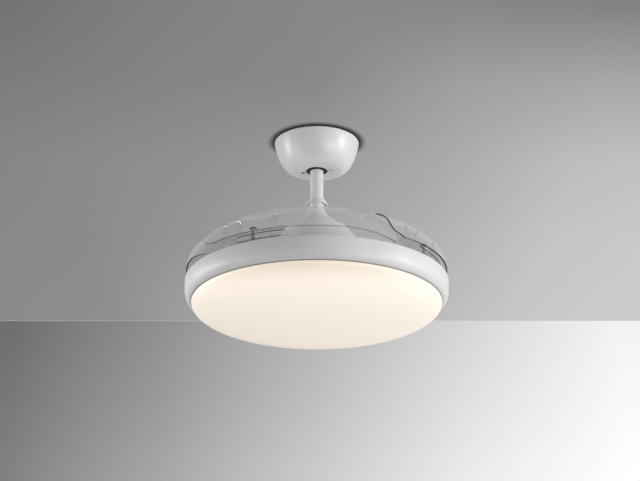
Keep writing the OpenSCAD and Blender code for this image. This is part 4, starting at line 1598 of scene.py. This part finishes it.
@dataclass
class Diffuser(SubAssembly):
    """The glowing opal bowl that twists into the drum."""

    body: str = "diffuser_cover"
    radius: float = 238.5
    depth: float = 43.4
    wall: float = 2.5
    neck_r: float = 230.5
    neck_edge: float = 0.4
    lug_out: float = 4.8
    seam_z: float = -337.315
    power: float = 2 / 2.14
    lug_z: float = -325.315
    lug_h: float = 3

    def path(self, steps: int = 48) -> list[Point]:
        """The outer face from the seam to the lowest point.

        Args:
            steps: Steps along the face.

        Returns:
            The face's points, with the last one on the axis.
        """
        path = []
        for i in range(steps):
            a = math.pi / 2 * i / steps
            r = self.radius * math.cos(a) ** self.power
            path.append((r, self.seam_z - self.depth * math.sin(a) ** self.power))
        return [*path, (0.0, self.seam_z - self.depth)]

    def build(self) -> None:
        """Turns the bowl with its neck and adds the lugs."""
        outer = self.path()
        inside, edge = self.neck_r - self.wall, self.neck_edge
        inner = [p for p in beside(outer, self.wall) if 1 < p[0] < inside]
        lug_top = self.lug_z + self.lug_h
        line = [
            *outer[::-1],
            (self.neck_r, self.seam_z),
            (self.neck_r, lug_top - edge),
            (self.neck_r - edge, lug_top),
            (inside + edge, lug_top),
            (inside, lug_top - edge),
            (inside, self.seam_z - self.wall),
            *inner,
            (0.0, outer[-1][1] + self.wall),
        ]
        bowl = turned("opal_bowl", [line], 160, closed=False)
        reach = self.neck_r + self.lug_out
        lug = band(self.neck_r - 1, reach, self.lug_z, lug_top, (0, 0.5, 0.5, 0))
        lugs = [
            sector("lug", lug, BAYONET.middle(k), BAYONET.lug_span)
            for k in range(BAYONET.count)
        ]
        piece = smoothed(joined(bowl, *lugs), 40)
        self.keep(piece, "diffuser", "opal_acrylic", OpalAcrylic())


@dataclass
class BladeCarrier(SubAssembly):
    """The turning plate with the four pivots and their springs."""

    body: str = "rotor"
    radius: float = 241.5
    bottom_z: float = -302.415
    thick: float = 3
    hole_r: float = 24
    lip: float = 1.8
    lip_h: float = 2.5
    hub_r: float = 86
    hub_h: float = 2
    windows: int = 8
    window_r: float = 20
    window_at: float = 150
    screws: int = 6
    screw_at: float = 67.5
    screw_turn: float = 15
    screw_hole_r: float = 1.55
    pivot_at: float = 229
    pivot_hole_r: float = 4.05
    pivot_angle: float = -30
    wire_r: float = 0.8
    wire_sides: int = 10
    spring_r: float = 9.2
    spring_h: float = 12.5
    spring_turns: int = 5
    spring_leg: float = 6
    seat: float = 0.3

    @property
    def top_z(self) -> float:
        """Height of the plate's top."""
        return self.bottom_z + self.thick

    def pivots(self) -> list[Matrix]:
        """The places of the four pivots, each with X away from the fan's axis."""
        return around(BLADES, self.pivot_angle - 90, self.pivot_at)

    def build_plate(self) -> None:
        """Turns the plate with its two raised lips and drills it."""
        top, hub = self.top_z, self.hub_r
        outline = rounded(
            [
                (self.hole_r, self.bottom_z, 0.4),
                (self.radius, self.bottom_z, 0.8),
                (self.radius, top + self.lip_h, 0.5),
                (self.radius - self.lip, top + self.lip_h, 0.5),
                (self.radius - self.lip, top, 1.0),
                (hub + self.lip, top, 0.8),
                (hub + self.lip, top + self.hub_h, 0.5),
                (hub, top + self.hub_h, 0.5),
                (hub, top, 0),
                (self.hole_r, top, 0.4),
            ],
            3,
        )
        piece = turned("carrier_plate", [outline], 160)
        for radius, places in (
            (self.window_r, around(self.windows, self.pivot_angle, self.window_at)),
            (self.pivot_hole_r, self.pivots()),
            (self.screw_hole_r, around(self.screws, self.screw_turn, self.screw_at)),
        ):
            for place in places:
                cut(piece, peg(radius, self.bottom_z - 2, top + 1, place, 48))
        self.keep(smoothed(piece), "blade_carrier", "white_plastic", WHITE_ABS)

    def build_spring(self) -> Piece:
        """Winds one return spring round the axis, with its two straight legs.

        Returns:
            The spring.
        """
        low = self.top_z + self.seat + self.wire_r
        rise = self.spring_h - 2 * self.wire_r - 2 * self.seat
        steps = 24 * self.spring_turns
        clear_selection()
        bpy.ops.mesh.primitive_circle_add(
            vertices=self.wire_sides,
            radius=self.wire_r * MM,
            location=(self.spring_r * MM, 0, low * MM),
            rotation=(math.pi / 2, 0, 0),
        )
        piece = named("return_spring_set")
        placed(piece, piece.matrix_world.copy())
        modified(
            piece,
            "SCREW",
            angle=math.tau * self.spring_turns,
            screw_offset=rise * MM,
            steps=steps,
            render_steps=steps,
            use_merge_vertices=False,
        )
        middle = (low + rise / 2) * MM
        with editing(piece) as mesh:
            ends = [edge for edge in mesh.edges if edge.is_boundary]
            upper = [edge for edge in ends if edge.verts[0].co.z > middle]
            lower = [edge for edge in ends if edge.verts[0].co.z < middle]
            for direction, leg in ((-1, lower), (1, upper)):
                bpy.ops.mesh.select_all(action="DESELECT")
                for edge in leg:
                    edge.select_set(True)
                step = (0, direction * self.spring_leg * MM, 0)
                bpy.ops.mesh.extrude_edges_move(TRANSFORM_OT_translate={"value": step})
                bpy.ops.mesh.edge_face_add()
            tidy_shell()
        return piece

    def build_springs(self) -> None:
        """Sets a copy of the spring at each pivot."""
        spring = self.build_spring()
        first, *places = self.pivots()
        copies = [copied(spring, "turn", place) for place in places]
        piece = joined(placed(spring, first), *copies)
        self.keep(smoothed(piece, 60), "return_springs", "zinc_steel", ZINC)

    def build(self) -> None:
        """Builds and dresses the whole group."""
        self.build_plate()
        self.build_springs()
        self.dress(ZINC, "carrier_screws")
        self.dress(STAINLESS, "pivot_pins")
        self.dress(DARK_STEEL, "pin_clips")
        self.dress(WHITE_ABS, "pivot_bushes")


@dataclass
class FoldingBlades(SubAssembly):
    """The four clear blades with their arms. Sizes in millimetres and degrees.

    A place on the dome is an azimuth in degrees, and a climb: how far up the dome's arc
    it lies in radians, or how far under the rim as a share of the rise, below zero.
    """

    radius: float = 250
    rise: float = 92
    rim_z: float = -274.015
    thick: float = 2
    edge_round: float = 0.35
    foot: float = 1.5
    droop: float = 16
    droop_from: float = 12
    inner_r: float = 122
    root: float = -51
    tip: float = 35.5
    bead_r: float = 1.6
    bead_painted_shade_r: float = 185
    lip_w: float = 3.2
    lip_t: float = 0.6
    lip_in: float = 0.1
    rows: int = 36
    columns: int = 110
    screw_at: float = 235.5
    screw_grip: float = 6
    screw_hole_r: float = 1.6
    arm_r: float = 239
    arm_end: float = -14
    arm_round: float = 1.0
    rib_start: float = -37
    rib_r: float = 0.8
    rib_z: tuple[float, float] = (-276.6, -287.4)
    rib_steps: int = 24
    pivot_angle: float = -30

    def dome_z(self, r: float) -> float:
        """Height of the dome's outer face at a distance from the axis."""
        return self.rim_z + self.rise * math.sqrt(max(0.0, 1 - (r / self.radius) ** 2))

    def climb(self, r: float) -> float:
        """The climb of the dome's face at a distance from the axis."""
        return math.acos(min(r / self.radius, 1))

    def foot_climb(self, azimuth: float) -> float:
        """The climb of the blade's lower edge at an azimuth, which droops at the tip."""
        share = (azimuth - self.droop_from) / (self.tip - self.droop_from)
        return -(self.foot + (self.droop - self.foot) * max(share, 0) ** 2) / self.rise

    def lift(self, azimuth: float, climb: float) -> Vector:
        """The point on the dome at an azimuth and a climb.

        Args:
            azimuth: Its azimuth.
            climb: Its climb.

        Returns:
            The point in metres.
        """
        r = self.radius * (math.cos(climb) if climb > 0 else 1)
        z = self.rim_z + self.rise * (math.sin(climb) if climb > 0 else climb)
        a = math.radians(azimuth)
        return Vector((r * math.sin(a), -r * math.cos(a), z)) * MM

    def edges(self) -> tuple[list[Vector], list[Vector], list[Vector], list[Vector]]:
        """The blade's four edges, as azimuth and climb.

        Returns:
            The lower, inner, root and tip edge.
        """
        steps = 60
        r, root, inner_r = self.radius, self.root, self.inner_r
        first, last, tip = root + 0.4, self.tip - 0.2, self.tip - 0.8
        lower = [
            (a, self.foot_climb(a))
            for a in [first + (last - first) * i / steps for i in range(steps + 1)]
        ]
        root_line = [(first, self.foot_climb(first)), (first, 0)] + [
            (azimuth, self.climb(at))
            for azimuth, at in (
                (root - 2.2, r - 0.2),
                (root - 4.5, r - 1.1),
                (root - 5.6, r - 5.4),
                (root - 5.2, r - 16.5),
                (root - 4.4, r - 29),
                (root - 4.8, r - 44),
                (root - 2, r - 70),
                (root + 1, r - 98),
                (root + 0.5, inner_r + 8),
                (root + 5, inner_r),
            )
        ]
        inner_line = [
            (azimuth, self.climb(at))
            for azimuth, at in (
                (root + 5, inner_r),
                (-22, inner_r + 8),
                (-2, inner_r + 28),
                (12, r - 62),
                (17.5, r - 34),
                (22.5, r - 13),
                (27, r - 4),
                (31, r - 2.4),
                (tip, r - self.thick),
            )
        ]
        tip_line = [
            (last, self.foot_climb(last)), (last, 0), (tip, self.climb(r - self.thick))
        ]
        stretch = (math.radians(1) * 0.9 * r, 0.6 * r)
        return (
            evenly(lower, self.columns, stretch),
            evenly(smooth_line(inner_line, 8), self.columns, stretch),
            evenly(smooth_line(root_line, 8), self.rows, stretch),
            evenly(smooth_line(tip_line, 4), self.rows, stretch),
        )

    def build_sheet(self) -> Piece:
        """Lays a grid over the dome between the blade's four edges and thickens it.

        Returns:
            The sheet.
        """
        lower, inner, root, tip = self.edges()

        def spot(u: float, v: float) -> Vector:
            """The point between the four edges, at shares along and across."""
            i, k = round(u * self.columns), round(v * self.rows)
            at = (
                (1 - v) * lower[i]
                + v * inner[i]
                + (1 - u) * root[k]
                + u * tip[k]
                - (1 - u) * (1 - v) * lower[0]
                - u * (1 - v) * lower[-1]
                - (1 - u) * v * inner[0]
                - u * v * inner[-1]
            )
            return self.lift(at.x, at.y)

        piece = laid(
            "blade_sheet", self.columns, self.rows, spot, lambda at: at.xy.to_3d()
        )
        # The inner faces take the inside finish, which is painted shade.
        modified(
            coated(piece, CLEAR_BLADE, CLEAR_INSIDE_PAINTED_SHADE),
            "SOLIDIFY",
            thickness=self.thick * MM,
            offset=-1,
            use_rim=True,
            use_even_offset=True,
            material_offset=1,
        )
        bevelled(piece, self.edge_round)
        for place in self.screw_places():
            cut(piece, peg(self.screw_hole_r, -10, 10, place, 20))
        return piece

    def build_lip(self) -> Piece:
        """The flat lip that the blade's lower edge turns in to, dark with painted shade.

        Returns:
            The lip.
        """
        lower = self.edges()[0]

        def spot(u: float, v: float) -> Vector:
            """The point at shares along the lower edge and in from it."""
            at = lower[round(u * self.columns)]
            edge = self.lift(at.x, at.y)
            inward = Vector((edge.x, edge.y, 0)).normalized() * -MM
            return edge + inward * (self.lip_in + self.lip_w * v)

        piece = laid("blade_lip", self.columns, 1, spot, lambda _: Vector((0, 0, -1)))
        coated(piece, CLEAR_LIP_PAINTED_SHADE)
        return modified(piece, "SOLIDIFY", thickness=self.lip_t * MM, offset=-0.7)

    def build_bead(self) -> Piece:
        """The rounded bead along the blade's root edge, with painted shade on its outer
        side.

        Returns:
            The bead.
        """
        line = []
        for at in self.edges()[2]:
            spot = self.lift(at.x, at.y)
            inward = Vector((spot.x, spot.y, 0)).normalized() * -self.thick / 2 * MM
            line.append(spot + inward)
        piece = coated(tube("bead", [line], self.bead_r), CLEAR_BLADE, CLEAR_EDGE_PAINTED_SHADE)
        # Faces on the outer side, far from the axis, take the near-black edge finish:
        # painted shade.
        for polygon in piece.data.polygons:
            spot = polygon.center
            outward = Vector((spot.y, -spot.x, 0)).normalized()
            far = spot.xy.length > self.bead_painted_shade_r * MM
            polygon.material_index = int(far and polygon.normal.dot(outward) > 0)
        return piece

    def build_ribs(self) -> Piece:
        """The two thin ribs along the outer wall of the first blade's arm, near black all
        over as painted shade.

        Returns:
            The ribs.
        """
        span = self.arm_end - 0.5 - self.rib_start
        shares = [i / self.rib_steps for i in range(self.rib_steps + 1)]
        turns = [math.radians(self.rib_start + span * share) for share in shares]
        lines = [
            [
                Vector((self.arm_r * math.sin(a), -self.arm_r * math.cos(a), height)) * MM
                for a in turns
            ]
            for height in self.rib_z
        ]
        return coated(tube("arm_ribs", lines, self.rib_r), CLEAR_EDGE_PAINTED_SHADE)

    def screw_places(self) -> list[Matrix]:
        """The places of the first blade's arm screws, square to the dome.

        Returns:
            A place for each of the three screws.
        """
        r = self.screw_at
        slope = self.rise / self.radius * (r / self.radius)
        tilt = math.degrees(math.atan(slope / math.sqrt(1 - (r / self.radius) ** 2)))
        return [
            turn(a) @ shift(0, -r, self.dome_z(r)) @ turn(tilt, "X")
            for a in (self.root + 6, self.pivot_angle - 7, self.arm_end - 5)
        ]

    def build_screws(self) -> Piece:
        """Sets three screws in the first blade.

        Returns:
            The screws as one piece.
        """
        model = PanHeadScrew().build("blade_screw", self.thick + self.screw_grip)
        first, *places = self.screw_places()
        others = [copied(model, "screw", place) for place in places]
        return joined(placed(model, first), *others)

    def build(self) -> None:
        """Models the first blade, its arm and its screws, and copies them round."""
        sheet = joined(self.build_sheet(), self.build_bead(), self.build_lip())
        smoothed(sheet, 50)
        screws, ribs = self.build_screws(), self.build_ribs()
        sheet_coats = (CLEAR_BLADE, CLEAR_INSIDE_PAINTED_SHADE, CLEAR_EDGE_PAINTED_SHADE, CLEAR_LIP_PAINTED_SHADE)
        # The arm's rounded edges and ribs take the near-black edge finish: painted shade.
        arm_coats = (CLEAR_ARM, CLEAR_EDGE_PAINTED_SHADE)
        for k in range(BLADES):
            number, place = k + 1, turn(360 / BLADES * k)
            body = f"folding_blade_{number}"
            blade = copied(sheet, f"clear_blade_{number}", place)
            self.keep(
                blade, f"blade_{number}", "clear_plastic", *sheet_coats, body=body
            )
            node = f"blade_arm_{number}"
            packed = self.frame["nodes"][node]
            arm = eased(packed, f"clear_arm_{number}", self.arm_round, *arm_coats)
            joined(arm, copied(ribs, "ribs", place))
            self.keep(arm, node, "clear_plastic", *arm_coats, body=body)
            fixing = copied(screws, f"blade_screws_{number}", place)
            self.keep(
                fixing, f"arm_screws_{number}", "zinc_steel", STAINLESS, body=body
            )
        for model in (sheet, screws, ribs):
            bpy.data.objects.remove(model)


# ---------- The studio ----------


Row = tuple[float, tuple[int, ...]]


@dataclass(frozen=True)
class Backdrop(Surface):
    """A plain sheet that shows only from its front, with greys across it that are painted
    light and shade.

    Each row of greys runs from left to right at one place along the axis. shade_r is
    the radius in metres inside which the sheet is dark, for the thin gap over the
    canopy, and shade_end is where that shade has faded.
    """

    axis: str
    rows: tuple[Row, ...]
    half_width: float = 0.78
    shade_r: float = 0.0
    shade_end: float = 0.0
    shade_grey: float = 0.12

    def row(self, tree: Tree, across: Socket, greys: Sequence[int]) -> Socket:
        """A row of greys from left to right.

        Args:
            tree: The material's node tree.
            across: How far along the row the place is, from 0 to 1.
            greys: The greys, from 0 to 255.

        Returns:
            The grey at that place.
        """
        last = len(greys) - 1
        stops = [(i / last, "#" + 3 * f"{grey:02X}") for i, grey in enumerate(greys)]
        return add(tree, "ValToRGB", {"Fac": across}, stops).outputs["Color"]

    def shaded(self, tree: Tree, at: Socket, grey: Socket) -> Socket:
        """Adds the round shade to the sheet's grey.

        Args:
            tree: The material's node tree.
            at: The place on the sheet.
            grey: The sheet's grey there.

        Returns:
            The darker grey.
        """
        far = add(tree, "VectorMath", {0: at}, operation="LENGTH").outputs["Value"]
        fade = {
            "Value": far,
            "From Min": self.shade_r,
            "From Max": self.shade_end,
            "To Min": self.shade_grey,
        }
        clear = add(tree, "MapRange", fade, interpolation_type="SMOOTHSTEP")
        both = {0: 1.0, 6: grey, 7: clear.outputs["Result"]}
        made = add(tree, "Mix", both, data_type="RGBA", blend_type="MULTIPLY")
        return made.outputs[2]

    def grey(self, tree: Tree, at: Socket) -> Socket:
        """The sheet's grey at each place.

        Args:
            tree: The material's node tree.
            at: The place on the sheet.

        Returns:
            The grey.
        """
        split = add(tree, "SeparateXYZ", {"Vector": at}).outputs
        width = {
            "Value": split["X"],
            "From Min": -self.half_width,
            "From Max": self.half_width,
        }
        across = add(tree, "MapRange", width).outputs["Result"]
        grey = self.row(tree, across, self.rows[0][1])
        for (start, _), (end, greys) in zip(self.rows, self.rows[1:]):
            reach = {"Value": split[self.axis], "From Min": start, "From Max": end}
            along = add(tree, "MapRange", reach).outputs["Result"]
            both = {0: along, 6: grey, 7: self.row(tree, across, greys)}
            grey = add(tree, "Mix", both, data_type="RGBA").outputs[2]
        return self.shaded(tree, at, grey) if self.shade_end else grey

    def material(self) -> bpy.types.Material:
        """Builds the sheet's material.

        Returns:
            The material.
        """
        made = bpy.data.materials.new(self.name)
        made.use_nodes = True
        tree = made.node_tree
        tree.nodes.remove(tree.nodes["Principled BSDF"])
        at = add(tree, "TexCoord").outputs["Object"]
        both = {
            0: add(tree, "NewGeometry").outputs["Backfacing"],
            1: add(tree, "Emission", {"Color": self.grey(tree, at)}).outputs["Emission"],
            2: add(tree, "BsdfTransparent").outputs["BSDF"],
        }
        shown = add(tree, "MixShader", both).outputs["Shader"]
        feed(tree.nodes["Material Output"], {"Surface": shown})
        return made


@dataclass(frozen=True)
class Lamp:
    """A soft square lamp that points at the fan.

    It stands at an azimuth and an elevation in degrees from the fan's front, and shines
    with a power in watts. far is its distance and size its side, both in metres.
    """

    name: str
    azimuth: float
    elevation: float
    power: float
    far: float = 3.0
    size: float = 0.7

    def build(self, aim: Vector) -> None:
        """Sets the lamp up.

        Args:
            aim: The point that it shines at, in metres.
        """
        data = bpy.data.lights.new(self.name, "AREA")
        data.size = self.size
        data.energy = self.power
        piece = bpy.data.objects.new(self.name, data)
        bpy.context.scene.collection.objects.link(piece)
        around, up = math.radians(self.azimuth), math.radians(self.elevation)
        flat = math.cos(up)
        away = Vector((flat * math.sin(around), -flat * math.cos(around), math.sin(up)))
        piece.location = aim + away * self.far
        piece.rotation_euler = away.to_track_quat("Z", "Y").to_euler()


@dataclass
class Studio:
    """The ceiling, back wall and floor, the lamps and the camera. Sizes in metres."""

    wall_y: float = 1.088
    wall_h: float = 6.0
    floor_z: float = -3.8
    ceiling_gap: float = 0.0006
    reach: float = 7.0
    focal_px: float = 1700
    sensor_mm: float = 36
    camera_at: Triple = (0.0063, -3.0538, -1.4105)
    camera_tilt: float = 21.515
    aim: Triple = (0, 0, -0.22)
    ambient: float = 0.225
    clear_layers: int = 48
    lamps: tuple[Lamp, ...] = (
        Lamp("key_right", 75, 0, 36),
        Lamp("front_right", 38, -20, 17),
        Lamp("low_right", 60, -25, 7),
        Lamp("top_right", 66, 50, 10),
        Lamp("top_back", 180, 60, 30),
        Lamp("side_left", -90, 0, 23),
        Lamp("low_left", -60, -25, 7),
        Lamp("drum_left", -95, -5, 0.55, far=0.62, size=0.2),
    )

    def sheet(
        self, name: str, size: Point, middle: Triple, tilt: float, surface: Surface
    ) -> Piece:
        """Adds a flat sheet of the stage.

        Args:
            name: Its name.
            size: Its two sides.
            middle: Its middle.
            tilt: Its turn about X in degrees. At 0 its front faces up.
            surface: Its finish.

        Returns:
            The sheet.
        """
        clear_selection()
        bpy.ops.mesh.primitive_plane_add(size=1)
        scale = Matrix.Diagonal((*size, 1, 1))
        piece = placed(named(name), Matrix.Translation(middle) @ turn(tilt, "X") @ scale)
        coated(piece, surface)
        return piece

    def build_stage(self) -> None:
        """Adds the ceiling, the back wall and a pale floor.

        The ceiling and the wall are only seen: they neither light nor shade the fan.
        """
        # The greys are painted light and shade: brighter to the right, where more light
        # falls, and darker to the left.
        ceiling_painted_light = (
            (-0.55, (105, 115, 128, 135, 135, 130, 122)),
            (-0.27, (120, 126, 133, 137, 159, 167, 170)),
            (0.08, (130, 137, 144, 154, 170, 189, 195)),
            (0.52, (136, 139, 150, 165, 178, 196, 202)),
            (1.0, (139, 142, 163, 178, 186, 199, 204)),
        )
        wall_painted_light = (
            (-0.404, (129, 166, 203, 236, 255)),
            (-0.211, (120, 154, 191, 225, 249)),
            (-0.008, (110, 144, 181, 214, 243)),
        )
        span = 2 * self.reach
        ceiling = self.sheet(
            "stage_ceiling",
            (span, self.reach + self.wall_y),
            (0, (self.wall_y - self.reach) / 2, self.ceiling_gap),
            180,
            Backdrop("ceiling_grey", "Y", ceiling_painted_light, shade_r=0.0825, shade_end=0.1),
        )
        wall = self.sheet(
            "stage_wall",
            (span, self.wall_h),
            (0, self.wall_y, -self.wall_h / 2),
            90,
            Backdrop("wall_grey", "Z", wall_painted_light),
        )
        for seen_only in (ceiling, wall):
            seen_only.visible_diffuse = False
            seen_only.visible_shadow = False
        # Painted concrete: pale, even and matt.
        floor = Finish(
            "pale_floor", "#DCDCDA", "#D8D8D6", Grain.FLAT, 300.0, 0.0, 0.7, drift_mm=900
        )
        self.sheet("stage_floor", (span, span), (0, 0, self.floor_z), 0, floor)

    def build_light(self) -> None:
        """Sets the lamps, the plain ambient light, and the grey that is seen round it."""
        for lamp in self.lamps:
            lamp.build(Vector(self.aim))
        world = bpy.data.worlds.new("studio")
        world.use_nodes = True
        tree = world.node_tree
        plain = tree.nodes["Background"]
        feed(plain, {"Color": linear("#FFFFFF"), "Strength": self.ambient})
        shown = add(tree, "Background", {"Color": linear("#D9D9D9"), "Strength": 1.0})
        path = add(tree, "LightPath").outputs
        looked_at = path["Is Camera Ray"]
        for ray in ("Is Glossy Ray", "Is Transmission Ray"):
            either = {0: looked_at, 1: path[ray]}
            looked_at = add(tree, "Math", either, operation="MAXIMUM").outputs["Value"]
        both = {0: looked_at, 1: plain.outputs[0], 2: shown.outputs[0]}
        mixed = add(tree, "MixShader", both).outputs["Shader"]
        feed(tree.nodes["World Output"], {"Surface": mixed})
        bpy.context.scene.world = world

    def build_camera(self) -> None:
        """Sets the camera where the photograph was taken from."""
        data = bpy.data.cameras.new("photo_camera")
        data.sensor_width = self.sensor_mm
        data.lens = self.focal_px / PHOTO_W * data.sensor_width
        piece = bpy.data.objects.new("photo_camera", data)
        bpy.context.scene.collection.objects.link(piece)
        piece.location = self.camera_at
        piece.rotation_euler = (math.radians(90 + self.camera_tilt), 0, 0)
        bpy.context.scene.camera = piece

    def build(self) -> None:
        """Sets up the whole studio."""
        self.build_stage()
        self.build_light()
        self.build_camera()
        scene = bpy.context.scene
        scene.view_settings.view_transform = "Standard"
        scene.cycles.transparent_max_bounces = self.clear_layers


def main() -> None:
    """Builds every sub-assembly and the studio, and notes the model's size."""
    logging.basicConfig(level=logging.INFO, format="%(message)s")
    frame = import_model()
    for group in (
        CeilingMount,
        RodSet,
        TopCover,
        Motor,
        Drum,
        Diffuser,
        BladeCarrier,
        FoldingBlades,
    ):
        group(frame).build()
    Studio().build()


if __name__ == "__main__":
    main()
